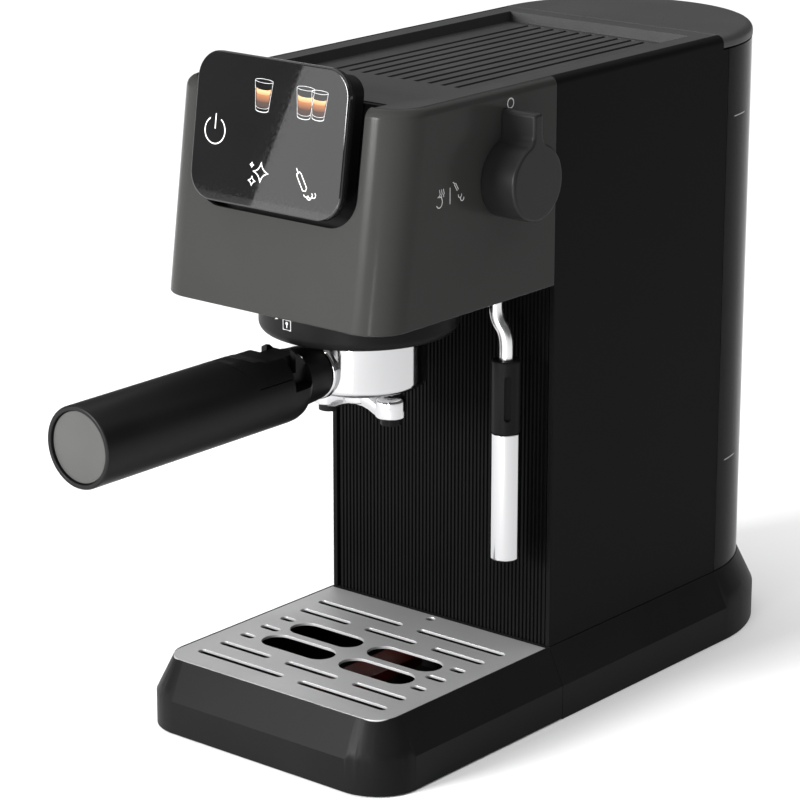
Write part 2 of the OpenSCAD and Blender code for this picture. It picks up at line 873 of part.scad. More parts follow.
module thermostats() {
    color("#d9d4c4") for (x = [-1, 1]) translate([x * 9, -110, block_z[1]]) {
        cylinder(h = 5, r = 7.6);
        translate([0, 0, 5]) cylinder(h = 4, r = 5);
    }
}

module thermoblock_screws() {
    color("#b8b9bb") for (x = block_screw_x, y = block_screw_y) translate([x, y, 0]) {
        disc(1.9, [block_z[0] + 1, block_z[1]]);
        disc(3.5, [block_z[1], block_z[1] + 2.5]);
    }
}

module control_board() {
    x = -inner_hw + 4;
    t = 1.6;
    y = [-30, 60];
    z = [190, 280];
    post_in = 5;
    part_h = 14;
    // Each tall part on the board: its y, its z, its length and its height off the board
    parts = [[-20, 240, 16, 12], [5, 232, 20, 16], [35, 242, 14, 20], [10, 262, 30, 8], [-10, 205, 14, 9]];
    color("#1d5a37") {
        span([x, y[0], z[0]], [x + t, y[1], z[1]]);
        for (p = parts) span([x + t - 0.1, p[0], p[1]], [x + t + p[3], p[0] + p[2], p[1] + part_h]);
        for (post_y = [y[0] + post_in, y[1] - post_in], post_z = [z[0] + post_in, z[1] - post_in])
            peg_x([x - 4, post_y, post_z], 4.1, 2.5);
    }
}

// ---------- coffee group ----------

module group_head() {
    color("#a9abae") at_group() {
        ring(group_r, cavity_r, [group_z[0], cavity_top + 0.1]);
        disc(group_r, [cavity_top, group_z[1]]);
        disc(3, [screen_z[1], cavity_top + 1]);
        for (turn = [0, 180])
            ring_arc(cavity_r + 0.5, ledge_r, [group_z[0], group_z[0] + ledge_t], ledge_arc, turn);
    }
}

module group_collar() {
    edge_r = 4;
    inner = group_r + 0.15;
    color("#151617") at_group() translate([0, 0, collar_z[0]]) rotate_extrude() {
        translate([inner, 0]) square([collar_r - edge_r - inner, collar_z[1] - collar_z[0]]);
        translate([inner, edge_r]) square([collar_r - inner, collar_z[1] - collar_z[0] - edge_r]);
        translate([collar_r - edge_r, edge_r]) circle(r = edge_r);
    }
}

module group_gasket() {
    color("#8a3a2e") at_group() ring(gasket_r[1], gasket_r[0], gasket_z);
}

module shower_screen() {
    color("#c9cacc") at_group() difference() {
        disc(screen_r, screen_z);
        disc(1.6, [0, far]);
        for (ring_r = [7, 13, 19], k = [0 : ring_r - 1])
            rotate([0, 0, k * 360 / ring_r]) translate([ring_r, 0, 0]) cylinder(h = far, r = 0.8);
    }
}

module screen_screw() {
    color("#b8b9bb") at_group() {
        disc(3.6, [screen_z[0] - 2, screen_z[0]]);
        disc(1.5, [screen_z[0] - 1, screen_z[1]]);
    }
}

// ---------- portafilter ----------

module portafilter_bowl() {
    edge_r = 3.5;
    floor_z = 163;
    color("#d9dadb") {
        at_group() difference() {
            union() {
                translate([0, 0, bowl_z[0]]) rotate_extrude() {
                    square([bowl_r - edge_r, edge_r + 1]);
                    translate([bowl_r - edge_r, edge_r]) circle(r = edge_r);
                    translate([0, edge_r]) square([bowl_r, bowl_z[1] - bowl_z[0] - edge_r]);
                }
                disc(rim_r, [bowl_z[1] - 1, rim_top]);
                for (turn = [0, 180]) ring_arc(ear_r, rim_r - 1, ear_z, ear_arc, turn);
            }
            disc(bowl_bore_r, [floor_z, far]);
            disc(4, [0, far]);
        }
        along_handle() translate([0, 0, group_y + bowl_bore_r + 0.8]) cylinder(h = 12, r = 8);
    }
}

module filter_basket() {
    color("#c3c4c6") at_group() difference() {
        union() {
            disc(basket_r, [basket_z[0], basket_z[1] - 0.4]);
            disc(rim_r - 0.2, [rim_top + 0.05, basket_z[1]]);
        }
        disc(basket_r - basket_wall, [basket_z[0] + basket_wall, far]);
    }
}

module twin_spout() {
    arm_z = 152.6;
    color("#d9dadb") at_group() difference() {
        union() {
            disc(7, [arm_z - 3, bowl_z[0]]);
            bar([-spout_x, 0, arm_z], [spout_x, 0, arm_z], 5);
            for (x = [-1, 1]) translate([x * spout_x, 0, 0]) {
                disc(spout_r, [spout_z[0], arm_z]);
                translate([0, 0, arm_z]) intersection() {
                    sphere(r = spout_r);
                    span([-20, -20, -1], [20, 20, spout_z[1] - arm_z]);
                }
            }
        }
        disc(3, [arm_z, far]);
        bar([-spout_x, 0, arm_z], [spout_x, 0, arm_z], 2.6);
        for (x = [-1, 1]) translate([x * spout_x, 0, 0]) disc(3.4, [0, arm_z]);
    }
}

module spout_nozzles() {
    color("#151515") at_group() for (x = [-1, 1]) translate([x * spout_x, 0, 0]) {
        ring(4.6, 2.4, [nozzle_bottom, spout_z[0]]);
        ring(3.4, 2.4, [spout_z[0] - 1, spout_z[0] + 3]);
    }
}

module handle_grip() {
    neck_start = group_y + bowl_r + 1.2;
    stud_bore = stud_r + 0.1;
    color("#151617") difference() {
        along_handle() {
            translate([0, 0, neck_start])
                cylinder(h = neck_end - neck_start, r1 = neck_r[0], r2 = neck_r[1]);
            translate([0, 0, neck_end])
                cylinder(h = barrel_start - neck_end, r1 = neck_r[1], r2 = handle_r);
            translate([0, 0, barrel_start]) cylinder(h = handle_end - barrel_start, r = handle_r);
        }
        along_handle() {
            translate([0, 0, handle_end - cap_depth]) cylinder(h = far, r = cap_r + 0.1);
            translate([0, 0, hollow_start]) cylinder(h = far, r = hollow_r);
            translate([0, 0, 100]) cylinder(h = hollow_start + 1 - 100, r = stud_bore);
            translate([0, 0, 100]) cylinder(h = group_y + bowl_bore_r + 13 - 100, r = 8.1);
        }
        clip_pocket();
    }
}

// The room in the top of the handle for the basket clip, with a finger notch at each side
module clip_pocket() {
    top = [far, -neck_end, far];
    span([-far, clip_y[0] - 0.4, clip_z[0] - 0.4], [far, clip_y[1], far]);
    span([-tongue_half - 0.3, clip_y[1] - 1, clip_z[0] - 0.4], [tongue_half + 0.3, -neck_end, far]);
    for (side = [0, 1]) mirror([side, 0, 0]) span([lug_half, clip_y[1] - 1, notch_bottom], top);
    span([-far, clip_y[1] - 1, clip_z[0] - 0.4], [far, clip_pin_at[0] - 3.5, far]);
    peg_x([-12, clip_pin_at[0], clip_pin_at[1]], 24, clip_pin_r);
}

module handle_end_cap() {
    color("#6f7072") along_handle() translate([0, 0, handle_end - cap_depth]) {
        cylinder(h = 1.8, r = cap_r);
        translate([0, 0, -5]) ring(hollow_r - 0.1, hollow_r - 2, [0, 5.1]);
    }
}

module handle_bolt() {
    start = group_y + bowl_bore_r + 12.9;
    color("#b8b9bb") along_handle() {
        translate([0, 0, start]) cylinder(h = hollow_start + 0.6 - start, r = stud_r);
        translate([0, 0, hollow_start + 0.1]) cylinder(h = 5, r = 6);
    }
}

module basket_clip() {
    pin_y = clip_pin_at[0];
    pin_z = clip_pin_at[1];
    color("#1d1e20") difference() {
        union() {
            intersection() {
                along_handle() translate([0, 0, barrel_start]) cylinder(h = 60, r = handle_r);
                span([-far, clip_y[0], clip_z[0]], [far, clip_y[1], clip_z[1]]);
            }
            span([-tongue_half, clip_y[1] - 1, pin_z - 2], [tongue_half, pin_y, pin_z + 2]);
            peg_x([-tongue_half, pin_y, pin_z], 2 * tongue_half, clip_eye_r);
        }
        peg_x([-far / 2, pin_y, pin_z], far, clip_pin_r + 0.06);
    }
}

module clip_pin() {
    color("#c4c5c6") peg_x([-9.5, clip_pin_at[0], clip_pin_at[1]], 19, clip_pin_r);
}

// ---------- steam ----------

module steam_valve() {
    socket_z = [205.4, 223];
    socket_hw = 9;
    slot_hw = 3.8;
    ball_y = ball_at[1];
    color("#b08d4a") difference() {
        union() {
            span([block_x + 0.2, knob_at[0] - 9, 234], [46, -54, 266]);
            span(
                [ball_at[0] - socket_hw, ball_y - socket_hw, socket_z[0]],
                [ball_at[0] + socket_hw, ball_y + socket_hw, socket_z[1]]
            );
            span([38.5, -64, socket_z[1] - 1], [45, -56, 235]);
            peg_x([45, knob_at[0], knob_at[1]], 9.9, 6);
        }
        peg_x([40, knob_at[0], knob_at[1]], 20, shaft_r + 0.05);
        translate(ball_at) sphere(r = ball_r + 0.1);
        span([ball_at[0] - slot_hw, ball_y - slot_hw, 200], [far, ball_y + slot_hw, ball_at[2] - 1.5]);
    }
}

module knob_shaft() {
    start = 41;
    cap_t = 6;
    color("#c4c5c6") peg_x([start, knob_at[0], knob_at[1]], knob_x[1] - start - cap_t, shaft_r);
}

module steam_knob() {
    depth = knob_x[1] - knob_x[0];
    tab_from = knob_r - 3;
    color("#1a1b1c") translate([knob_x[0], knob_at[0], knob_at[1]]) difference() {
        union() {
            peg_x([0, 0, 0], depth, knob_r);
            translate([0, -knob_tab_w / 2, tab_from]) cube([depth, knob_tab_w, knob_tab_len - tab_from]);
            rotate([90, 0, 90]) linear_extrude(depth)
                polygon([[-12, 10], [12, 10], [knob_tab_w / 2, 20.5], [-knob_tab_w / 2, 20.5]]);
        }
        peg_x([-1, 0, 0], depth - 5, shaft_r);
        translate([-1, 0, 0]) rotate([0, 90, 0]) ring(knob_r - 2.4, 7, [0, depth - 4]);
    }
}

module wand_pipe() {
    upper = [ball_at[0], ball_at[1], bend_z[0]];
    lower = [wand_at[0], wand_at[1], bend_z[1]];
    color("#c9cacc") {
        translate(ball_at) sphere(r = ball_r);
        translate([ball_at[0], ball_at[1], 0]) disc(pipe_r, [bend_z[0], ball_at[2]]);
        bar(upper, lower, pipe_r);
        for (bend = [upper, lower]) translate(bend) sphere(r = pipe_r + bend_swell * 3);
        translate([wand_at[0], wand_at[1], 0]) disc(pipe_r, [pipe_end, bend_z[1]]);
    }
}

module wand_grip() {
    color("#151515") translate([wand_at[0], wand_at[1], 0]) difference() {
        disc(sleeve_r, grip_z);
        disc(pipe_r, [0, far]);
        for (side = [-1, 1]) translate([0, side * (sleeve_r + 1), (grip_z[0] + grip_z[1]) / 2])
            rotate([90, 0, 0]) linear_extrude(4.2, center = true) rotate([0, 0, 90]) slot_2d(10, 3.6);
    }
}

module wand_sleeve() {
    color("#d9dadb") translate([wand_at[0], wand_at[1], 0]) difference() {
        disc(sleeve_r, sleeve_z);
        disc(sleeve_r - 1.2, [0, sleeve_z[1] - 3]);
        disc(pipe_r, [0, far]);
        translate([0, -sleeve_r, sleeve_z[1] - 12]) rotate([90, 0, 0])
            cylinder(h = 8, r = 1, center = true);
    }
}

base_housing();
base_bottom();
rubber_feet();
base_screws();
drip_tray();
drip_grille();
float_indicator();
left_side_panel();
right_side_panel();
front_panel();
rear_inner_wall();
top_cover();
head_cover();
head_underside();
panel_glass();
panel_bezel();
panel_circuit();
panel_recess();
water_tank();
tank_lid();
lid_hinge_pins();
tank_valve();
valve_spring();
tank_socket();
socket_seal();
pump();
pump_mounts();
pump_bracket();
relief_valve();
chassis_plate();
suction_hose();
pressure_hose();
steam_tube();
drain_tube();
thermoblock();
heating_element();
thermostats();
thermoblock_screws();
control_board();
cord_gland();
group_head();
group_collar();
group_gasket();
shower_screen();
screen_screw();
portafilter_bowl();
filter_basket();
twin_spout();
spout_nozzles();
handle_grip();
handle_end_cap();
handle_bolt();
basket_clip();
clip_pin();
steam_valve();
knob_shaft();
steam_knob();
wand_pipe();
wand_grip();
wand_sleeve();
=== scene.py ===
import json
import math

import bpy
import bmesh
from mathutils import Matrix, Vector


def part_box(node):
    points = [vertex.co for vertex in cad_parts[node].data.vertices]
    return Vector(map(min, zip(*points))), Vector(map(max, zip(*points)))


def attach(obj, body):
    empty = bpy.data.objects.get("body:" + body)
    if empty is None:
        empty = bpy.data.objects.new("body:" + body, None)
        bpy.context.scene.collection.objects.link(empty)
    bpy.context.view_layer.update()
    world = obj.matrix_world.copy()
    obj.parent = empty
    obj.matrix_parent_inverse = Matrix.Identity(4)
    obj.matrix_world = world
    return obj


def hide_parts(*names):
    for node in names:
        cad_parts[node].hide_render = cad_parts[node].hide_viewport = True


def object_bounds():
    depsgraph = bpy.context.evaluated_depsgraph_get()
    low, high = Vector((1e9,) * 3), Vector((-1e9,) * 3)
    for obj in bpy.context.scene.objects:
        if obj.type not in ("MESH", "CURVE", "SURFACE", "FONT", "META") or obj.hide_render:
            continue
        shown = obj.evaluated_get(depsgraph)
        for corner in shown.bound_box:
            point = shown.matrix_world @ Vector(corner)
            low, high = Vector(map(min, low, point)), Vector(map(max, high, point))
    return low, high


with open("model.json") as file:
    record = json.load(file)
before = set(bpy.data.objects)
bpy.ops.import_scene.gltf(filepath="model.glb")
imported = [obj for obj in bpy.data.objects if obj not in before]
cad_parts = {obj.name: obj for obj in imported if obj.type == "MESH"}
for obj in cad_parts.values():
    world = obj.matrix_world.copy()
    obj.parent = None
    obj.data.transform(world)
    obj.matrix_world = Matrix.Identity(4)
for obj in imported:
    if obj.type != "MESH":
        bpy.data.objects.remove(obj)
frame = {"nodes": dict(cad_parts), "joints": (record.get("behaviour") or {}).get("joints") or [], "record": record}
NODES = frame["nodes"]
cad_low, cad_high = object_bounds()
MM = 0.001
CORNER_STEPS = 10
# thickness of a printed mark, in millimetres
INK = 0.06


# ---------- places taken from the CAD ----------

def box_mm(node):
    """A CAD node's lowest and highest corner, in millimetres, as every new piece is built."""
    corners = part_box(node)
    return corners[0] / MM, corners[1] / MM


def joint_mm(name):
    """The point that a joint turns about, in millimetres."""
    return Vector(next(j for j in frame["joints"] if j["name"] == name)["pos_m"]) / MM


# ---------- mesh building ----------

def corner_round(corners, steps=CORNER_STEPS):
    """A closed outline through (x, y, radius) corners, anticlockwise, with a rounded point at each."""
    points = []
    count = len(corners)
    for i, (x, y, r) in enumerate(corners):
        here = Vector((x, y))
        before = (Vector(corners[i - 1][:2]) - here).normalized()
        after = (Vector(corners[(i + 1) % count][:2]) - here).normalized()
        half = before.angle(after) / 2
        if r < 1e-7 or half > math.pi / 2 - 1e-4:
            points += [here.copy() for _ in range(steps + 1)]
            continue
        reach = r / math.tan(half)
        start, end = here + before * reach, here + after * reach
        centre = here + (before + after).normalized() * (r / math.sin(half))
        a, b = start - centre, end - centre
        sweep = a.angle_signed(b)
        for k in range(steps + 1):
            t = -sweep * k / steps
            points.append(centre + Vector((
                a.x * math.cos(t) - a.y * math.sin(t), a.x * math.sin(t) + a.y * math.cos(t))))
    return points


def inset(corners, d):
    """The same corners, moved in by d on every side."""
    made = []
    count = len(corners)
    for i, (x, y, r) in enumerate(corners):
        here = Vector((x, y))
        a = (here - Vector(corners[i - 1][:2])).normalized()
        b = (Vector(corners[(i + 1) % count][:2]) - here).normalized()
        na, nb = Vector((-a.y, a.x)), Vector((-b.y, b.x))
        share = 1 + na.dot(nb)
        moved = here + (na + nb) * (d / max(share, 1e-6))
        turn = a.x * b.y - a.y * b.x
        made.append((moved.x, moved.y, max(0.0, r - d) if turn > 0 else (r + d if r > 0 else 0.0)))
    return made


def mesh_object(name, verts, faces):
    mesh = bpy.data.meshes.new(name)
    mesh.from_pydata([tuple(v) for v in verts], [], faces)
    mesh.update()
    obj = bpy.data.objects.new(name, mesh)
    bpy.context.scene.collection.objects.link(obj)
    clean = bmesh.new()
    clean.from_mesh(mesh)
    bmesh.ops.remove_doubles(clean, verts=clean.verts, dist=1e-4)
    bmesh.ops.dissolve_degenerate(clean, edges=clean.edges, dist=1e-4)
    bmesh.ops.recalc_face_normals(clean, faces=clean.faces)
    clean.to_mesh(mesh)
    clean.free()
    return obj


def loft(name, rings, around=False):
    """Skin through rings of equally many points, capped unless it goes all the way around."""
    n = len(rings[0])
    verts = [v for ring in rings for v in ring]
    faces = []
    for k in range(len(rings) if around else len(rings) - 1):
        low_row, high_row = k * n, ((k + 1) % len(rings)) * n
        for i in range(n):
            j = (i + 1) % n
            faces.append((low_row + i, low_row + j, high_row + j, high_row + i))
    if not around:
        faces.append(tuple(range(n))[::-1])
        faces.append(tuple(range((len(rings) - 1) * n, len(rings) * n)))
    return mesh_object(name, verts, faces)


def fillet_levels(z0, z1, r_low, r_high, steps=6):
    """(height, inset) pairs of a block with filleted lower and upper edges."""
    levels = []
    for k in range(steps + 1 if r_low > 0 else 1):
        t = math.pi / 2 * k / steps
        levels.append((z0 + r_low * (1 - math.sin(t)), r_low * (1 - math.cos(t))))
    levels.reverse()
    if r_low <= 0:
        levels = [(z0, 0.0)]
    for k in range(steps + 1 if r_high > 0 else 1):
        t = math.pi / 2 * k / steps
        levels.append((z1 - r_high * (1 - math.sin(t)), r_high * (1 - math.cos(t))))
    return levels


def block(name, corners, z0, z1, r_low=0.0, r_high=0.0, shape=None, place=None):
    """A solid of the given outline with filleted rims. shape(point) may bend it, place puts it."""
    rings = []
    for z, d in fillet_levels(z0, z1, r_low, r_high):
        ring = [Vector((p.x, p.y, z)) for p in corner_round(inset(corners, d))]
        if shape:
            ring = [shape(p) for p in ring]
        if place:
            ring = [place @ p for p in ring]
        rings.append(ring)
    return loft(name, rings)


def lathe(name, profile, place=Matrix(), steps=96):
    """Turns (radius, height) points about the local Z axis. A closed profile makes a ring."""
    rings = []
    for k in range(steps):
        t = 2 * math.pi * k / steps
        rings.append([place @ Vector((r * math.cos(t), r * math.sin(t), z)) for r, z in profile])
    return loft(name, rings, around=True)


def rod(name, points, radius, sides=28):
    """A round rod along points, closed at both ends."""
    rings = []
    up = Vector((0, 1, 0)) if abs((points[1] - points[0]).normalized().y) < 0.9 else Vector((1, 0, 0))
    for i, p in enumerate(points):
        ahead = points[min(i + 1, len(points) - 1)]
        behind = points[max(i - 1, 0)]
        along = (ahead - behind).normalized()
        across = along.cross(up).normalized()
        up = across.cross(along).normalized()
        r = radius(i / (len(points) - 1)) if callable(radius) else radius
        rings.append([
            p + (across * math.cos(a) + up * math.sin(a)) * r
            for a in (2 * math.pi * k / sides for k in range(sides))])
    return loft(name, rings)


def smooth_path(points, bend, steps=8):
    """Points with each inner corner replaced by a curve starting bend before it."""
    out = [points[0]]
    for i in range(1, len(points) - 1):
        a, p, b = points[i - 1], points[i], points[i + 1]
        start = p + (a - p).normalized() * min(bend, (a - p).length / 2)
        end = p + (b - p).normalized() * min(bend, (b - p).length / 2)
        for k in range(steps + 1):
            t = k / steps
            out.append(start * (1 - t) ** 2 + p * 2 * t * (1 - t) + end * t ** 2)
    out.append(points[-1])
    return out


def cut(obj, *tools, union=False):
    """Takes the tools away from obj (or adds them) and removes them."""
    for tool in tools:
        mod = obj.modifiers.new("cut", "BOOLEAN")
        mod.operation = "UNION" if union else "DIFFERENCE"
        mod.solver = "EXACT"
        mod.object = tool
        bake(obj)
        bpy.data.objects.remove(tool)
    return obj


def bake(obj):
    """Applies the object's modifiers."""
    graph = bpy.context.evaluated_depsgraph_get()
    graph.update()
    mesh = bpy.data.meshes.new_from_object(obj.evaluated_get(graph))
    obj.modifiers.clear()
    old = obj.data
    obj.data = mesh
    bpy.data.meshes.remove(old)


def soften(obj, width, segments=2, angle=35):
    """Small fillets on the sharp edges, unless width is 0, and even shading."""
    if width > 0:
        clean = bmesh.new()
        clean.from_mesh(obj.data)
        bmesh.ops.remove_doubles(clean, verts=clean.verts, dist=2e-3)
        bmesh.ops.dissolve_limit(
            clean, angle_limit=math.radians(0.4), verts=clean.verts, edges=clean.edges)
        clean.to_mesh(obj.data)
        clean.free()
        mod = obj.modifiers.new("edge", "BEVEL")
        mod.width = width
        mod.segments = segments
        mod.limit_method = "ANGLE"
        mod.angle_limit = math.radians(angle)
        mod.use_clamp_overlap = True
        mod.miter_outer = "MITER_ARC"
        bake(obj)
    obj.data.shade_smooth()
    obj.data.set_sharp_from_angle(angle=math.radians(angle))
    mod = obj.modifiers.new("normals", "WEIGHTED_NORMAL")
    mod.keep_sharp = True
    return obj


def offset(points, d):
    """A dense smooth closed outline, moved in by d."""
    count = len(points)
    made = []
    for i, p in enumerate(points):
        along = (points[(i + 1) % count] - points[i - 1]).normalized()
        made.append(p + Vector((-along.y, along.x)) * d)
    return made


def smooth_block(name, points, z0, z1, r_low, r_high, place=Matrix()):
    """A solid of a dense smooth outline with filleted rims."""
    rings = []
    for z, d in fillet_levels(z0, z1, r_low, r_high):
        rings.append([place @ Vector((p.x, p.y, z)) for p in offset(points, d)])
    return loft(name, rings)


def cube(name, low_corner, high_corner):
    x, y, z = zip(low_corner, high_corner)
    corners = ((0, 0), (1, 0), (1, 1), (0, 1))
    return loft(name, [[Vector((x[i], y[j], z[k])) for i, j in corners] for k in (0, 1)])


def bar_x(x0, x1, at, radius, sides=40):
    """A round bar along X, at the height and depth of a point."""
    return rod("tool", [Vector((x, at.y, at.z)) for x in (x0, x1)], radius, sides)


def box_outline(half_width, low_edge, high_edge, r_low, r_high=0.0):
    """Corners of a rectangle across the middle, rounded at its lower and upper edge."""
    return [
        (-half_width, high_edge, r_high), (-half_width, low_edge, r_low),
        (half_width, low_edge, r_low), (half_width, high_edge, r_high)]


def ribbon(points, width, closed=False, thick=INK, rise=0.0):
    """A flat printed line along (u, v) points. It returns vertices and faces."""
    count = len(points)
    verts, faces = [], []
    for i, p in enumerate(points):
        ahead = points[(i + 1) % count] if closed or i < count - 1 else p
        behind = points[i - 1] if closed or i > 0 else p
        along = (ahead - behind).normalized()
        side = Vector((-along.y, along.x)) * width / 2
        for q, n in ((p - side, rise), (p + side, rise), (p + side, rise + thick), (p - side, rise + thick)):
            verts.append(Vector((q.x, q.y, n)))
    for i in range(count if closed else count - 1):
        a, b = 4 * i, 4 * ((i + 1) % count)
        faces += [(a + k, a + (k + 1) % 4, b + (k + 1) % 4, b + k) for k in range(4)]
    if not closed:
        faces += [(3, 2, 1, 0), tuple(4 * (count - 1) + k for k in range(4))]
    return verts, faces


def patch(points, thick=INK, rise=0.0):
    """A flat printed area inside (u, v) points."""
    count = len(points)
    verts = [Vector((p.x, p.y, n)) for n in (rise, rise + thick) for p in points]
    faces = [tuple(range(count))[::-1], tuple(range(count, 2 * count))]
    faces += [(i, (i + 1) % count, count + (i + 1) % count, count + i) for i in range(count)]
    return verts, faces


def arc(cx, cy, r, start, end, steps=24, squash=1.0):
    """Points of an arc between two angles in degrees."""
    return [
        Vector((cx + r * math.cos(math.radians(a)), cy + squash * r * math.sin(math.radians(a))))
        for a in (start + (end - start) * k / steps for k in range(steps + 1))]


def print_piece(name, marks, shape):
    """One piece out of several ribbons and patches. shape puts each local point on its surface."""
    verts, faces = [], []
    for mark_verts, mark_faces in marks:
        start = len(verts)
        verts += [shape(v) for v in mark_verts]
        faces += [tuple(start + i for i in face) for face in mark_faces]
    mesh = bpy.data.meshes.new(name)
    mesh.from_pydata([tuple(v) for v in verts], [], faces)
    obj = bpy.data.objects.new(name, mesh)
    bpy.context.scene.collection.objects.link(obj)
    clean = bmesh.new()
    clean.from_mesh(mesh)
    bmesh.ops.recalc_face_normals(clean, faces=clean.faces)
    clean.to_mesh(mesh)
    clean.free()
    return obj


def finish_piece(obj, body, material, replaces=()):
    """Turns a piece built in millimetres into metres, and gives it its material and its body."""
    obj.data.transform(obj.matrix_world)
    obj.matrix_world = Matrix.Identity(4)
    obj.data.transform(Matrix.Scale(MM, 4))
    obj.data.materials.clear()
    obj.data.materials.append(material)
    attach(obj, body)
    if replaces:
        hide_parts(*replaces)
    return obj


# ---------- materials ----------

# the part of the scuff noise over which a surface goes from clean to worn
SCUFF_SPAN = (0.62, 0.78)


class Nodes:
    """Short calls for building a node material."""

    def __init__(self, name):
        self.material = bpy.data.materials.new(name)
        self.material.use_nodes = True
        self.tree = self.material.node_tree
        self.shader = self.tree.nodes["Principled BSDF"]
        self.coords = self.add("ShaderNodeTexCoord")

    def add(self, kind, **values):
        node = self.tree.nodes.new(kind)
        for key, value in values.items():
            setattr(node, key, value)
        return node

    def link(self, a, b):
        self.tree.links.new(a, b)

    def noise(self, scale, stretch=(1, 1, 1), detail=3.0, rough=0.55):
        place = self.add("ShaderNodeMapping")
        place.inputs["Scale"].default_value = [s * scale for s in stretch]
        self.link(self.coords.outputs["Object"], place.inputs["Vector"])
        tex = self.add("ShaderNodeTexNoise")
        tex.inputs["Scale"].default_value = 1.0
        tex.inputs["Detail"].default_value = detail
        tex.inputs["Roughness"].default_value = rough
        self.link(place.outputs["Vector"], tex.inputs["Vector"])
        return tex.outputs["Fac"]

    def between(self, value, low_out, high_out, low_in=0.3, high_in=0.7):
        node = self.add("ShaderNodeMapRange")
        node.inputs["From Min"].default_value = low_in
        node.inputs["From Max"].default_value = high_in
        node.inputs["To Min"].default_value = low_out
        node.inputs["To Max"].default_value = high_out
        self.link(value, node.inputs["Value"])
        return node.outputs["Result"]

    def mix(self, fac, a, b):
        node = self.add("ShaderNodeMix", data_type="RGBA")
        for socket, value in (("Factor", fac), ("A", a), ("B", b)):
            ends = [s for s in node.inputs if s.name == socket and s.enabled]
            end = ends[0] if socket == "Factor" else ends[-1]
            if hasattr(value, "is_linked"):
                self.link(value, end)
            else:
                end.default_value = value if socket == "Factor" else (*value[:3], 1.0)
        return [s for s in node.outputs if s.enabled][0]

    def maths(self, operation, a, b=0.5):
        node = self.add("ShaderNodeMath", operation=operation)
        for socket, value in zip(node.inputs, (a, b)):
            if hasattr(value, "is_linked"):
                self.link(value, socket)
            else:
                socket.default_value = value
        return node.outputs[0]

    def bump(self, height, strength, distance):
        node = self.add("ShaderNodeBump")
        node.inputs["Strength"].default_value = strength
        node.inputs["Distance"].default_value = distance
        self.link(height, node.inputs["Height"])
        before = self.shader.inputs["Normal"].links
        if before:
            self.link(before[0].from_socket, node.inputs["Normal"])
        self.link(node.outputs["Normal"], self.shader.inputs["Normal"])

    def set(self, **values):
        for key, value in values.items():
            self.shader.inputs[key.replace("_", " ")].default_value = value


def finish(name, color, rough, metallic=0.0, level=0.5, grain=2600, grain_depth=0.00001,
           mottle=0.12, wear=0.1, streak=None, rough_spread=0.06):
    """A moulded, painted or metal surface with fine grain, patchy gloss, tone drift and light scuffs."""
    n = Nodes(name)
    n.set(Metallic=metallic, Specular_IOR_Level=level)
    broad = n.noise(22, detail=2.0)
    fine = n.noise(grain)
    scuff = n.noise(160, stretch=(1, 1, 0.25), detail=6.0, rough=0.7)
    tone = n.mix(n.between(broad, 0, 1), [c * (1 - mottle) for c in color], [c * (1 + mottle) for c in color])
    worn = n.between(scuff, 0.0, wear, *SCUFF_SPAN)
    lighter = [min(1.0, c * 1.5 + 0.02) for c in color]
    n.link(n.mix(worn, tone, lighter), n.shader.inputs["Base Color"])
    gloss = n.between(broad, rough - rough_spread / 2, rough + rough_spread / 2)
    n.link(n.maths("ADD", gloss, n.between(fine, -0.03, 0.03)), n.shader.inputs["Roughness"])
    n.bump(fine, 0.35, grain_depth)
    if streak:
        lines = n.noise(streak["scale"], stretch=streak["stretch"], detail=4.0)
        n.bump(lines, streak["strength"], 0.00002)
    return n


def clear(name, color, rough, transmission, ior=1.49):
    """A clear moulded plastic with slight haze and flow marks."""
    n = Nodes(name)
    n.set(Transmission_Weight=transmission, IOR=ior)
    haze = n.noise(30, stretch=(1, 1, 0.3))
    lighter = [min(1, c * 1.12) for c in color]
    n.link(n.mix(n.between(haze, 0, 1), color, lighter), n.shader.inputs["Base Color"])
    n.link(n.between(haze, rough * 0.7, rough * 1.4), n.shader.inputs["Roughness"])
    n.bump(haze, 0.08, 0.0002)
    return n


def ramp_print(name, low_color, high_color, low_z, high_z):
    """A printed picture's tone that deepens downwards, with a fine screen grain."""
    n = finish(name, low_color, 0.3, level=0.3, grain=4000)
    height = n.add("ShaderNodeSeparateXYZ")
    n.link(n.coords.outputs["Object"], height.inputs[0])
    share = n.between(height.outputs[2], 0, 1, low_z, high_z)
    n.link(n.mix(share, low_color, high_color), n.shader.inputs["Base Color"])
    return n


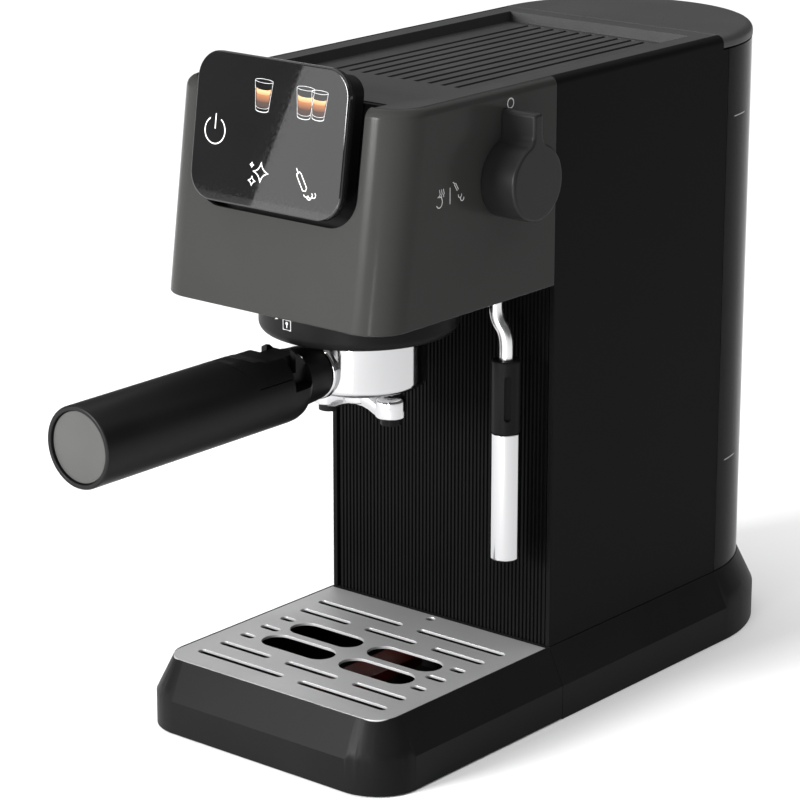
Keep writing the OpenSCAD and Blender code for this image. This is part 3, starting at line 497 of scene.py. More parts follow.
BRUSH_X = {"scale": 1.0, "stretch": (30, 3500, 3500), "strength": 0.25}
BRUSH_Z = {"scale": 1.0, "stretch": (3500, 3500, 40), "strength": 0.12}
LOOKS = {
    "black_plastic": finish("black_plastic", (0.0055, 0.0055, 0.0057), 0.42, level=0.06, wear=0.05),
    "black_panels": finish("black_panels", (0.0035, 0.0035, 0.0036), 0.48, level=0.03, wear=0.04),
    "graphite_metal": finish(
        "graphite_metal", (0.0265, 0.0268, 0.0257), 0.20, metallic=0.0, level=0.05, mottle=0.03,
        grain=5200, grain_depth=0.000004, wear=0.03, rough_spread=0.03),
    "graphite_plastic": finish("graphite_plastic", (0.034, 0.034, 0.0345), 0.42, level=0.2, wear=0.06),
    "panel_glass": finish(
        "panel_glass", (0.005, 0.005, 0.0053), 0.02, level=0.5, grain=900, grain_depth=0.0000005,
        wear=0.02, rough_spread=0.02),
    "circuit": finish("circuit", (0.02, 0.12, 0.05), 0.35, mottle=0.25),
    "steel_plate": finish(
        "steel_plate", (0.52, 0.52, 0.525), 0.40, metallic=0.65, level=0.5, mottle=0.02, grain=4000,
        grain_depth=0.000002, streak=BRUSH_X, wear=0.1),
    "chrome": finish(
        "chrome", (0.50, 0.50, 0.508), 0.09, metallic=1.0, mottle=0.01, grain=700,
        grain_depth=0.0000004, wear=0.05, rough_spread=0.02),
    "steel": finish(
        "steel", (0.62, 0.62, 0.625), 0.22, metallic=1.0, mottle=0.03, grain=3000,
        grain_depth=0.000002, streak=BRUSH_Z, wear=0.1),
    "aluminium": finish("aluminium", (0.55, 0.56, 0.57), 0.42, metallic=1.0, grain=1500, grain_depth=0.00003),
    "brass": finish("brass", (0.66, 0.46, 0.18), 0.28, metallic=1.0, mottle=0.08, streak=BRUSH_Z),
    "rubber": finish("rubber", (0.012, 0.012, 0.012), 0.75, level=0.3, grain=1800, grain_depth=0.00003),
    "silicone": finish("silicone", (0.24, 0.055, 0.035), 0.55, level=0.4, grain=900),
    "clear_hose": clear("clear_hose", (0.75, 0.75, 0.71), 0.25, 0.6),
    "smoked_clear": clear("smoked_clear", (0.009, 0.009, 0.0093), 0.16, 0.75, 1.12),
    "red_plastic": finish("red_plastic", (0.035, 0.005, 0.003), 0.45, level=0.15),
    "crema": ramp_print("crema", (0.28, 0.12, 0.04), (0.42, 0.25, 0.12), 0.2945, 0.2965),
    "coffee": ramp_print("coffee", (0.025, 0.008, 0.003), (0.20, 0.07, 0.02), 0.2915, 0.2945),
    "dark_coffee": ramp_print("dark_coffee", (0.008, 0.004, 0.003), (0.025, 0.008, 0.003), 0.289, 0.2915),
    "print_grey": finish("print_grey", (0.45, 0.45, 0.45), 0.4, level=0.3),
    "handle_plastic": finish("handle_plastic", (0.0045, 0.0045, 0.0046), 0.40, level=0.1, wear=0.04),
    "knob_plastic": finish("knob_plastic", (0.012, 0.012, 0.0122), 0.36, level=0.12, wear=0.05),
    "end_disc": finish("end_disc", (0.045, 0.045, 0.0437), 0.38, metallic=0.3, level=0.3, wear=0.05),
    "white_plastic": finish("white_plastic", (0.72, 0.72, 0.69), 0.42, level=0.4),
}


def look(slot):
    return LOOKS[slot].material


# ---------- CAD nodes that keep their shape ----------

slot_of = {part["node"]: part["material_slot"] for part in frame["record"]["subparts"]}
EDGE = {
    "base_housing": 0.6, "drip_tray": 0.6, "left_side_panel": 0.3, "right_side_panel": 0.3,
    "front_panel": 0.0, "drip_grille": 0.25,
}


def dress(node):
    obj = NODES[node]
    obj.data.materials.clear()
    obj.data.materials.append(look(slot_of[node]))
    for polygon in obj.data.polygons:
        polygon.material_index = 0
    width = EDGE.get(node, 0.25)
    weld = obj.modifiers.new("weld", "WELD")
    weld.merge_threshold = 1e-6
    flat = obj.modifiers.new("flat", "DECIMATE")
    flat.decimate_type = "DISSOLVE"
    flat.angle_limit = math.radians(0.4)
    if width:
        edge = obj.modifiers.new("edge", "BEVEL")
        edge.width = width * MM
        edge.segments = 2
        edge.limit_method = "ANGLE"
        edge.angle_limit = math.radians(40)
        edge.harden_normals = False
    even = obj.modifiers.new("normals", "WEIGHTED_NORMAL")
    even.keep_sharp = True


for node_name in NODES:
    dress(node_name)


# ---------- head ----------

head_low, head_high = box_mm("head_cover")
SEAM_Y = head_high.y
HEAD_HW = head_high.x
TILT_DEG = 8.2
TILT = math.tan(math.radians(TILT_DEG))
HEAD_CORNER = 17.2
HEAD_WALL = 2.4
ROLL = 4.0
CUT_V, CUT_HW, CUT_CORNER = 42.1, 45.2, 14.6
KNOB_HOLE_R = 3.4
ON_FRONT = Matrix.Translation((0, head_low.y, head_low.z)) @ Matrix.Rotation(
    math.radians(90 - TILT_DEG), 4, "X")
knob_low, knob_high = box_mm("steam_knob")
KNOB_AXIS = joint_mm("knob_turn")


def head_block(name, d, z0, z1, rear, r_low=0.0, r_high=0.0):
    """A block of the head's outline, drawn in by d, with its front leaning back."""
    outline = inset(box_outline(HEAD_HW, head_low.y, SEAM_Y + 60, HEAD_CORNER), d)
    return block(
        name, outline, z0, z1, r_low, r_high,
        shape=lambda p: Vector((p.x, min(p.y + TILT * (p.z - head_low.z), rear), p.z)))


shell = head_block("head_cover_shell", 0, head_low.z, head_high.z, SEAM_Y, 0.8, ROLL)
cut(
    shell,
    head_block("tool", HEAD_WALL, head_low.z - 5, head_high.z - ROLL - 3, SEAM_Y + 1),
    head_block("tool", ROLL + 0.1, head_high.z - 20, head_high.z + 1, SEAM_Y + 1),
    block(
        "tool", box_outline(CUT_HW, CUT_V, 200, CUT_CORNER), -HEAD_CORNER, 40, place=ON_FRONT),
    bar_x(HEAD_HW - 6, HEAD_HW + 4, KNOB_AXIS, KNOB_HOLE_R, 28))
soften(shell, 0.5, 3)
finish_piece(shell, "housing", look("graphite_metal"), ["head_cover"])


# ---------- control panel ----------

PANEL_W, PANEL_H, PANEL_CORNER = 84.3, 63.6, 12.0
PANEL_V, PANEL_N, GLASS_T = 45.1, 7.3, 2.6
panel_corners = box_outline(PANEL_W / 2, PANEL_V, PANEL_V + PANEL_H, PANEL_CORNER, PANEL_CORNER)
glass = block("panel_glass_face", panel_corners, PANEL_N - GLASS_T, PANEL_N, 0.3, 0.9, place=ON_FRONT)
soften(glass, 0)
finish_piece(glass, "housing", look("panel_glass"), ["panel_glass"])


def on_glass(p):
    """Puts a point given from the panel's lower middle onto its face."""
    return ON_FRONT @ Vector((p.x, p.y + PANEL_V, p.z + PANEL_N - 0.01))


def star(cx, cy, r, waist=0.30, steps=6):
    """Four points joined by inward curves."""
    points = []
    for k in range(4):
        a0, a1 = math.pi / 2 * k, math.pi / 2 * (k + 1)
        tip, following = Vector((math.cos(a0), math.sin(a0))), Vector((math.cos(a1), math.sin(a1)))
        pull = (tip + following) * waist / 2
        for j in range(steps):
            t = j / steps
            p = tip * (1 - t) ** 2 + pull * 2 * t * (1 - t) + following * t ** 2
            points.append(Vector((cx, cy)) + p * r)
    return points


LINE = 0.45
POWER_U, POWER_V, POWER_R = -29.8, 29.9, 5.7
STEM_LOW, STEM_HIGH = 30.6, 37.0
power = [
    ribbon(arc(POWER_U, POWER_V, POWER_R, 122, 418, 40), LINE),
    ribbon([Vector((POWER_U, v)) for v in (STEM_LOW, STEM_HIGH)], LINE)]
# middle and reach of each star
LARGE_STAR, SMALL_STAR, FULL_STAR = (-2.3, 15.7, 4.3), (-6.9, 11.6, 2.1), (-7.5, 18.3, 1.5)
sparkles = [
    ribbon(star(*LARGE_STAR), LINE, closed=True), ribbon(star(*SMALL_STAR), LINE * 0.8, closed=True),
    patch(star(*FULL_STAR))]
WAND_TOP, WAND_END = Vector((17.2, 20.3)), Vector((22.6, 12.2))
wand_along = (WAND_END - WAND_TOP).normalized()
wand_side = Vector((-wand_along.y, wand_along.x)) * 1.25
neck, shoulder = WAND_TOP + wand_along * 2.2, WAND_TOP + wand_along * 3.4
wand_mark = [
    ribbon([WAND_TOP, neck], LINE),
    ribbon([
        neck - wand_side * 0.8, shoulder - wand_side, WAND_END - wand_side,
        WAND_END + wand_along * 0.9,
        WAND_END + wand_side, shoulder + wand_side, neck + wand_side * 0.8], LINE, closed=True)]
STEAM_AT = Vector((24.6, 9.6))
wand_mark += [
    ribbon(arc(STEAM_AT.x - 1.0 + 1.7 * k, STEAM_AT.y + 0.9 - 0.9 * k, 1.35, 200, 330, 10)
           + arc(STEAM_AT.x + 1.4 + 1.7 * k, STEAM_AT.y + 0.5 + 0.3 * k, 1.15, 210, 420, 12),
           LINE * 0.85)
    for k in (0, 1)]
finish_piece(
    print_piece("panel_symbols", power + sparkles + wand_mark, on_glass),
    "housing", look("white_plastic"))

CUP_TOP, CUP_FOOT, CUP_H = 5.0, 3.5, 12.6
WALL_LINE, RIM_LINE, FOOT_LINE, BASE_LINE = 0.16, 0.17, 0.32, 0.15
RIM_SQUASH, FOOT_SQUASH = 0.17, 0.28
# middle, foot height and size of each printed cup
CUPS = [(-4.4, 41.2, 1.0), (18.7, 41.2, 0.98), (26.5, 41.6, 0.9)]


def cup_level(cup, share):
    """The left and right point of a cup's wall at a share of its height."""
    u, v, size = cup
    half = size * (CUP_FOOT + (CUP_TOP - CUP_FOOT) * share)
    height = v + size * CUP_H * share
    return Vector((u - half, height)), Vector((u + half, height))


def cup_band(cup, low_share, high_share, narrow=0.88, sag=0.75):
    """The part of a cup between two heights, with a sagging lower and upper edge."""
    u = cup[0]
    band = []
    for share, way in ((low_share, 1), (high_share, -1)):
        left, right = cup_level(cup, share)
        half = (right.x - left.x) / 2 * narrow
        row = [
            Vector((u + half * t, left.y - sag * math.sqrt(max(0, 1 - t * t))))
            for t in (k / 8 - 1 for k in range(17))]
        band += row if way == 1 else row[::-1]
    return band


glass_lines = []
for cup in CUPS:
    left_foot, right_foot = cup_level(cup, 0.03)
    left_rim, right_rim = cup_level(cup, 1.0)
    half_rim, half_foot = (right_rim.x - left_rim.x) / 2, (right_foot.x - left_foot.x) / 2
    walls = ((left_foot, left_rim), (right_foot, right_rim))
    glass_lines += [ribbon(wall, WALL_LINE, rise=INK) for wall in walls]
    cup_rim = arc(cup[0], left_rim.y, half_rim, 0, 360, 32, RIM_SQUASH)[:-1]
    glass_lines += [ribbon(cup_rim, RIM_LINE, closed=True, rise=INK)]
    glass_lines += [
        ribbon(arc(cup[0], left_foot.y + up, half_foot, 180, 360, 20, FOOT_SQUASH), width, rise=INK)
        for up, width in ((0.2, FOOT_LINE), (1.6, BASE_LINE))]
finish_piece(
    print_piece("panel_cup_outlines", glass_lines, on_glass), "housing", look("print_grey"))
for part_name, slot, shares, tint in (
        ("panel_cup_crema", "white_plastic", (0.60, 0.76), "crema"),
        ("panel_cup_coffee", "brass", (0.36, 0.60), "coffee"),
        ("panel_cup_dark", "black_plastic", (0.17, 0.36), "dark_coffee")):
    bands = [patch(cup_band(cup, *shares), rise=0.01 * i) for i, cup in enumerate(CUPS)]
    finish_piece(print_piece(part_name, bands, on_glass), "housing", look(tint))


# ---------- marks on the head's side and on the collar ----------

def on_side(p):
    """Puts a point, given as (forwards, up, outwards), onto the head's right side."""
    return Vector((HEAD_HW - 0.01 + p.z, -p.x, p.y))


SIDE_LINE = 0.4
RING_AT, RING_R = (73.0, 288.0), 2.1
BAR_ENDS = ((113.5, 251.6), (113.5, 258.6))
CURL_AT, CURL_R = (120.6, 253.6), 2.0
WISP_X, WISP_Z, WISP_GAP, WISP_RISE = 120.2, 255.4, 1.3, 0.62
NOZZLE_CORNERS = ((110.6, 259.4), (108.8, 256.6), (108.0, 257.1), (109.8, 259.9))
NOZZLE_STEM = ((111.6, 260.6), (110.2, 259.6))
PUFFS, PUFF_R = ((106.9, 254.4), (105.4, 252.8)), 1.1


def flat_points(pairs, at=Vector((0, 0))):
    """Points of a printed mark, from (u, v) pairs about a place."""
    return [at + Vector(pair) for pair in pairs]


side_marks = [
    ribbon(arc(*RING_AT, RING_R, 0, 360, 32)[:-1], 0.5, closed=True),
    ribbon(flat_points(BAR_ENDS), SIDE_LINE),
    ribbon(arc(*CURL_AT, CURL_R, 60, 330, 20, 1.2), SIDE_LINE)]
for k in range(3):
    wisp = [
        (WISP_X - WISP_GAP * k + 0.25 * math.sin(j * 1.6), WISP_Z + WISP_RISE * j + 0.4 * math.sin(j * 1.5))
        for j in range(6)]
    side_marks.append(ribbon(flat_points(wisp), SIDE_LINE * 0.8))
side_marks += [ribbon(flat_points(NOZZLE_CORNERS), SIDE_LINE, closed=True)]
side_marks += [ribbon(flat_points(NOZZLE_STEM), SIDE_LINE)]
side_marks += [ribbon(arc(*puff, PUFF_R, 160, 380, 12), SIDE_LINE) for puff in PUFFS]
finish_piece(
    print_piece("side_symbols", side_marks, on_side), "housing", look("print_grey"))

collar_low, collar_high = box_mm("group_collar")
COLLAR_R = (collar_high.x - collar_low.x) / 2
GROUP = joint_mm("portafilter_turn")


def on_collar(p):
    """Wraps a point, given as (across, up, outwards), round the front of the collar."""
    r = COLLAR_R - 0.01 + p.z
    a = p.x / COLLAR_R
    return Vector((r * math.sin(a), GROUP.y - r * math.cos(a), p.y))


LOCK_AT, LOCK_HALF, LOCK_V = Vector((-3.2, 193.2)), 2.3, 2.2
SHACKLE = ((-1.4, 2.4), (-1.4, 3.6), (1.4, 3.6), (1.4, 2.4))
KEYHOLE_R, KEYHOLE_ENDS = 0.75, ((0, 0.7), (0, -1.3))
TURN_ARROW = ((-5.6, 1.6), (-7.8, 2.9), (-7.2, 1.7), (-8.4, 1.0))
lock_body = ((-LOCK_HALF, -LOCK_V), (LOCK_HALF, -LOCK_V), (LOCK_HALF, LOCK_V), (-LOCK_HALF, LOCK_V))
lock = [
    ribbon(flat_points(lock_body, LOCK_AT), 0.5, closed=True),
    ribbon(flat_points(SHACKLE, LOCK_AT), 0.45),
    patch(flat_points(arc(*KEYHOLE_ENDS[0], KEYHOLE_R, 0, 360, 12)[:-1], LOCK_AT)),
    ribbon(flat_points(KEYHOLE_ENDS, LOCK_AT), 0.6),
    patch(flat_points(TURN_ARROW, LOCK_AT))]
finish_piece(print_piece("lock_symbol", lock, on_collar), "housing", look("print_grey"))


# ---------- lid ----------

lid_low, lid_high = box_mm("tank_lid")
LID_AXIS = joint_mm("lid_swing")
LID_R = (lid_high.x - lid_low.x) / 2
REAR_Y = lid_high.y - LID_R
ARC_STEPS = 72
EAR_X, EAR_HW = 35.0, 4.3
LID_WALL, LID_ROOF = 5.0, 1.6
EAR_ROOM_R = 2.85


def lid_ring(d, z):
    """The lid's D outline, drawn in by d everywhere but at its straight front edge."""
    r = LID_R - d
    ring = [Vector((-r, lid_low.y, z)), Vector((r, lid_low.y, z))]
    ring += [
        Vector((r * math.cos(a), REAR_Y + r * math.sin(a), z))
        for a in (math.pi * k / ARC_STEPS for k in range(ARC_STEPS + 1))]
    return ring


lid_levels = fillet_levels(lid_low.z, lid_high.z, 0.6, ROLL - 0.2)
lid = loft("tank_lid_shell", [lid_ring(d, z) for z, d in lid_levels])
hollow_ring = [
    [Vector((p.x, max(p.y, LID_AXIS.y + 8.5), z)) for p in lid_ring(LID_WALL, z)]
    for z in (lid_low.z - 1, lid_high.z - LID_ROOF)]
hinge_rods = [bar_x(x - EAR_HW, x + EAR_HW, LID_AXIS, EAR_ROOM_R) for x in (-EAR_X, EAR_X)]
hinge_boxes = [
    cube("tool", (x - EAR_HW, LID_AXIS.y - 4, lid_low.z - 1), (x + EAR_HW, LID_AXIS.y + 9, LID_AXIS.z + 1.4))
    for x in (-EAR_X, EAR_X)]
cut(lid, loft("tool", hollow_ring), *hinge_rods, *hinge_boxes)
soften(lid, 0.35, 3)
finish_piece(lid, "lid", look("graphite_plastic"), ["tank_lid"])


# ---------- portafilter ----------

BOWL_R, BOWL_TOP, BOWL_FILLET = 30.1, 183.6, 3.5
INNER_R, RIM_OUTER_R = 26.9, 28.2
FLOOR_Z, RIM_Z = 163.0, 192.0
BOWL_Z = box_mm("portafilter_bowl")[0].z
AT_GROUP = Matrix.Translation((0, GROUP.y, 0))


def quarter(r, h, radius, start, end, steps=8):
    """Profile points of a fillet about (r, h), between two angles in degrees."""
    return [
        (r + radius * math.cos(math.radians(a)), h + radius * math.sin(math.radians(a)))
        for a in (start + (end - start) * k / steps for k in range(steps + 1))]


bowl_profile = [(4.0, BOWL_Z)]
bowl_profile += quarter(BOWL_R - BOWL_FILLET, BOWL_Z + BOWL_FILLET, BOWL_FILLET, -90, 0)
bowl_profile += quarter(BOWL_R - 0.6, BOWL_TOP - 0.6, 0.6, 0, 90, 4)
bowl_profile += [(RIM_OUTER_R, BOWL_TOP), (RIM_OUTER_R, RIM_Z)]
bowl_profile += [(INNER_R, RIM_Z), (INNER_R, FLOOR_Z), (4.0, FLOOR_Z)]
bowl = lathe("portafilter_bowl_body", bowl_profile, AT_GROUP, 128)
EAR_IN, EAR_OUT, EAR_LOW, EAR_HIGH, EAR_SPAN = 27.2, 30.5, 187.8, 190.6, 40
ear_section = ((EAR_IN, EAR_LOW), (EAR_OUT, EAR_LOW), (EAR_OUT, EAR_HIGH), (EAR_IN, EAR_HIGH))
ears = []
for turn in (-90, 90):
    ring = [
        [Vector((0, GROUP.y, 0)) + Vector((r * math.sin(a), -r * math.cos(a), z)) for r, z in ear_section]
        for a in (math.radians(turn - EAR_SPAN / 2 + EAR_SPAN * k / 16) for k in range(17))]
    ears.append(loft("tool", ring))
BOSS_Y = GROUP.y - BOWL_R - 1.1
HANDLE_R, HANDLE_Z = 17.5, 170.3
# local z runs forwards from the frame's middle, along the handle
ALONG_HANDLE = Matrix.Translation((0, 0, HANDLE_Z)) @ Matrix.Rotation(math.radians(90), 4, "X")
BOSS_R, BOSS_START = 12.6, 123.5
boss_profile = [(2.0, BOSS_START), (BOSS_R, BOSS_START)]
boss_profile += quarter(BOSS_R - 1.0, -BOSS_Y - 1.0, 1.0, 0, 90, 4) + [(2.0, -BOSS_Y)]
boss = lathe("tool", boss_profile, ALONG_HANDLE, 64)
STUD_R, STUD_FROM, STUD_TO = 8.0, 123.0, 135.2
stud_profile = [(0.5, STUD_FROM), (STUD_R, STUD_FROM), (STUD_R, STUD_TO), (0.5, STUD_TO)]
stud = lathe("tool", stud_profile, ALONG_HANDLE, 48)
cut(bowl, boss, stud, *ears, union=True)
soften(bowl, 0.25, 2)
finish_piece(bowl, "portafilter", look("chrome"), ["portafilter_bowl"])

spout_low, spout_high = box_mm("twin_spout")
SPOUT_X, SPOUT_R = 18.0, 6.9
# distance from the middle and height along each arm's centre line
ARM_LINE = ((0, 153.6), (5, 153.4), (9.5, 152.3), (13.5, 150.6), (16.5, 149.4))
spout_parts = []
for side in (-1, 1):
    at = Matrix.Translation((side * SPOUT_X, GROUP.y, 0))
    profile = [(3.4, spout_low.z), (SPOUT_R - 0.4, spout_low.z), (SPOUT_R, spout_low.z + 0.5)]
    profile += [(SPOUT_R, 152.5)] + quarter(SPOUT_R - 3.6, 152.9, 3.6, 0, 90, 8)[1:] + [(3.4, 156.5)]
    spout_parts.append(lathe("tool", profile, at, 64))
    spine = [Vector((side * x, GROUP.y, z)) for x, z in ARM_LINE]
    spout_parts.append(rod("tool", spine, lambda t: 5.4 + 0.6 * t, 40))
hub_profile = [(3.0, 150.2), (6.6, 150.2), (7.4, 151.2), (7.4, spout_high.z), (3.0, spout_high.z)]
hub = lathe("twin_spout_body", hub_profile, AT_GROUP, 64)
cut(hub, *spout_parts, union=True)
soften(hub, 0.3, 2, angle=40)
finish_piece(hub, "portafilter", look("chrome"), ["twin_spout"])

grip_low, grip_high = box_mm("handle_grip")
HANDLE_END = -grip_low.y
RIM_R, RIM_DEPTH = 15.3, 3.0
BOLT_R, SOCKET_R, SOCKET_FLOOR = 3.1, 10.0, 190.0
grip_start = -grip_high.y
grip_profile = [(BOLT_R, grip_start), (11.2, grip_start), (12.2, grip_start + 1.0)]
grip_profile += [(12.9, 136.0), (13.3, 142.4), (13.7, 143.6), (15.4, 145.6)]
grip_profile += [(16.7, 147.4), (17.3, 149.6), (HANDLE_R, 153.0)]
grip_profile += quarter(HANDLE_R - 0.9, HANDLE_END - 0.9, 0.9, 0, 90, 5)
grip_profile += quarter(RIM_R + 0.4, HANDLE_END - 0.4, 0.4, 90, 180, 3)
grip_profile += [(RIM_R, HANDLE_END - RIM_DEPTH), (SOCKET_R, HANDLE_END - RIM_DEPTH)]
grip_profile += [(SOCKET_R, SOCKET_FLOOR), (BOLT_R, SOCKET_FLOOR)]
grip = lathe("handle_grip_body", grip_profile, ALONG_HANDLE, 128)

clip_low = box_mm("basket_clip")[0]
CLIP_AXIS = joint_mm("clip_swing")
FLAP_FRONT, FLAP_SIDE, FLAP_REAR = clip_low.y - 0.3, clip_low.y + 7.0, -157.4
FLAP_Z, FLAP_HW = clip_low.z, 16.15
TONGUE_HW = 6.5
CLIP_GAP, NOTCH_X = 0.4, 9.8
EYE_R, PIN_BORE_R = 2.3, 1.46
# place along the handle and height of the flap's top
WAVE_KNOTS = [
    (-187, 187.8), (-184.5, 186.4), (-181, 187.3), (-177.5, 187.4),
    (-172, 185.6), (-165, 185.0), (-156, 184.9)]


def flap_front(x):
    """Where the flap's front edge lies, curving back towards its sides."""
    return FLAP_FRONT + (FLAP_SIDE - FLAP_FRONT) * min(1.2, abs(x / FLAP_HW)) ** 2.2


def wave(y):
    """Height of the flap's top along the handle: flush at its front, a hump, then lower to the rear."""
    for (y0, z0), (y1, z1) in zip(WAVE_KNOTS, WAVE_KNOTS[1:]):
        if y <= y1:
            t = max(0.0, (y - y0) / (y1 - y0))
            t = t * t * (3 - 2 * t)
            return z0 + (z1 - z0) * t
    return WAVE_KNOTS[-1][1]


# the cutters reach this far past the handle, and their tops stand clear above it
PAST_X, PAST_Z = 30.0, 200.0
pocket_front = [Vector((x, flap_front(x) - CLIP_GAP)) for x in (k * 2.25 - 18 for k in range(17))]
pocket_rear = CLIP_AXIS.y - 3.5
pocket_plan = pocket_front + flat_points(
    ((PAST_X, -150), (PAST_X, pocket_rear), (-PAST_X, pocket_rear), (-PAST_X, -150)))
pocket = loft("tool", [[Vector((p.x, p.y, z)) for p in pocket_plan] for z in (FLAP_Z - CLIP_GAP, PAST_Z)])
NECK_FACE, NOTCH_Z = -143.0, 171.0
slot_hw = TONGUE_HW + 0.3
tongue_slot = cube("tool", (-slot_hw, -160, FLAP_Z - CLIP_GAP), (slot_hw, NECK_FACE, PAST_Z))
side_notches = [
    cube("tool", (x0, FLAP_REAR - CLIP_GAP, NOTCH_Z), (x1, NECK_FACE, PAST_Z))
    for x0, x1 in ((-PAST_X, -NOTCH_X), (NOTCH_X, PAST_X))]
cut(grip, pocket, tongue_slot, *side_notches)
soften(grip, 0.35, 2, angle=38)
finish_piece(grip, "portafilter", look("handle_plastic"), ["handle_grip"])

rows, columns = 30, 28
flap_verts, flap_faces = [], []
for level in (0, 1):
    for i in range(rows + 1):
        for j in range(columns + 1):
            x = FLAP_HW * math.sin(math.pi / 2 * (2 * j / columns - 1))
            y = flap_front(x) + (FLAP_REAR - flap_front(x)) * i / rows
            barrel = HANDLE_Z + math.sqrt(max(0.0, (HANDLE_R - 0.05) ** 2 - x * x))
            top = min(barrel, wave(y) + 0.06 * min(barrel - wave(y), 0))
            flap_verts.append(Vector((x, y, max(FLAP_Z + 0.02, top) if level else FLAP_Z)))
wide = columns + 1
for i in range(rows):
    for j in range(columns):
        a = i * wide + j
        flap_faces.append((a, a + 1, a + 1 + wide, a + wide))
        flap_faces.append(tuple(q + (rows + 1) * wide for q in (a, a + wide, a + 1 + wide, a + 1)))
rim = list(range(wide)) + [i * wide + columns for i in range(1, rows + 1)]
rim += [rows * wide + j for j in range(columns - 1, -1, -1)] + [i * wide for i in range(rows - 1, 0, -1)]
for k, a in enumerate(rim):
    b = rim[(k + 1) % len(rim)]
    flap_faces.append((a, b, b + (rows + 1) * wide, a + (rows + 1) * wide))
flap = mesh_object("basket_clip_flap", flap_verts, flap_faces)
tongue = cube("tool", (-TONGUE_HW, FLAP_REAR - 1, CLIP_AXIS.z - 2), (TONGUE_HW, CLIP_AXIS.y, CLIP_AXIS.z + 2))
eye = bar_x(-TONGUE_HW, TONGUE_HW, CLIP_AXIS, EYE_R)
bore = bar_x(-20, 20, CLIP_AXIS, PIN_BORE_R, 32)
cut(flap, tongue, eye, union=True)
cut(flap, bore)
soften(flap, 0.3, 2, angle=38)
finish_piece(flap, "clip", look("handle_plastic"), ["basket_clip"])

DISC_R, PLUG_R, PLUG_INNER_R = 15.1, 9.9, 8.0
disc_back, plug_end, disc_face = HANDLE_END - RIM_DEPTH, HANDLE_END - 8.0, HANDLE_END - 1.05
cap_profile = [(PLUG_INNER_R, plug_end), (PLUG_R, plug_end), (PLUG_R, disc_back), (DISC_R, disc_back)]
cap_profile += quarter(DISC_R - 0.4, HANDLE_END - 1.6, 0.4, 0, 90, 4)
cap_profile += [(PLUG_INNER_R, disc_face - 0.05), (0.6, disc_face)]
cap_profile += [(0.0, disc_face), (0.0, disc_back), (PLUG_INNER_R, disc_back)]
cap = lathe("handle_end_disc", cap_profile, ALONG_HANDLE, 96)
soften(cap, 0)
finish_piece(cap, "portafilter", look("end_disc"), ["handle_end_cap"])


# ---------- steam knob ----------

KNOB_R = 16.9
TAB_HW, TAB_TOP, TAB_CORNER, TAB_BLEND = 3.0, 29.7, 1.9, 5.0
blend_x = TAB_HW + TAB_BLEND
blend_z = math.sqrt((KNOB_R + TAB_BLEND) ** 2 - blend_x ** 2)
join_angle = math.degrees(math.atan2(blend_z, blend_x))
half_knob = arc(0, 0, KNOB_R, -90, join_angle, 48)
half_knob += arc(blend_x, blend_z, TAB_BLEND, 180 + join_angle, 180, 10)[1:]
half_knob += arc(TAB_HW - TAB_CORNER, TAB_TOP - TAB_CORNER, TAB_CORNER, 0, 90, 8)
knob_outline = half_knob[1:] + [Vector((-p.x, p.y)) for p in half_knob[::-1]][1:]
# local x runs backwards along +Y, local y runs up, and local z runs out along +X
KNOB_PLACE = Matrix((
    (0, 0, 1, knob_low.x), (1, 0, 0, KNOB_AXIS.y), (0, 1, 0, KNOB_AXIS.z), (0, 0, 0, 1)))
KNOB_DEPTH = knob_high.x - knob_low.x
knob = smooth_block("steam_knob_body", knob_outline, 0, KNOB_DEPTH, 0.5, 1.5, KNOB_PLACE)
HUB_R, HOLLOW_R, SHAFT_R = 7.0, 14.5, 3.0
hollow_end, shaft_end = KNOB_DEPTH - 4, KNOB_DEPTH - 6
hollow_profile = [(HUB_R, -1), (HOLLOW_R, -1), (HOLLOW_R, hollow_end), (HUB_R, hollow_end)]
hollow = lathe("tool", hollow_profile, KNOB_PLACE, 64)
shaft_bore = rod("tool", [KNOB_PLACE @ Vector((0, 0, z)) for z in (-1, shaft_end)], SHAFT_R, 48)
cut(knob, hollow, shaft_bore)
soften(knob, 0, angle=40)
finish_piece(knob, "knob", look("knob_plastic"), ["steam_knob"])


# ---------- steam wand ----------

sleeve_low, sleeve_high = box_mm("wand_sleeve")
wand_grip_low, wand_grip_high = box_mm("wand_grip")
BALL = joint_mm("wand_tilt")
LOWER = Vector(((sleeve_low.x + sleeve_high.x) / 2, (sleeve_low.y + sleeve_high.y) / 2, 0))
SLEEVE_R = (sleeve_high.x - sleeve_low.x) / 2
PIPE_R, BALL_R = 3.1, 5.5
# the wand's parts slip over the pipe with this much room
SLIP_R = PIPE_R + 0.02
pipe_line = smooth_path([
    BALL, Vector((BALL.x, BALL.y, 188)),
    Vector((LOWER.x, LOWER.y, 181)), Vector((LOWER.x, LOWER.y, 100))], 6, 10)
pipe = rod("wand_pipe_tube", pipe_line, PIPE_R, 40)
ball_profile = quarter(0, 0, BALL_R, -88, 88, 24)
ball = lathe("tool", ball_profile + [(0.05, 5.4), (0.05, -5.4)], Matrix.Translation(BALL), 48)
cut(pipe, ball, union=True)
soften(pipe, 0)
finish_piece(pipe, "wand", look("steel"), ["wand_pipe"])

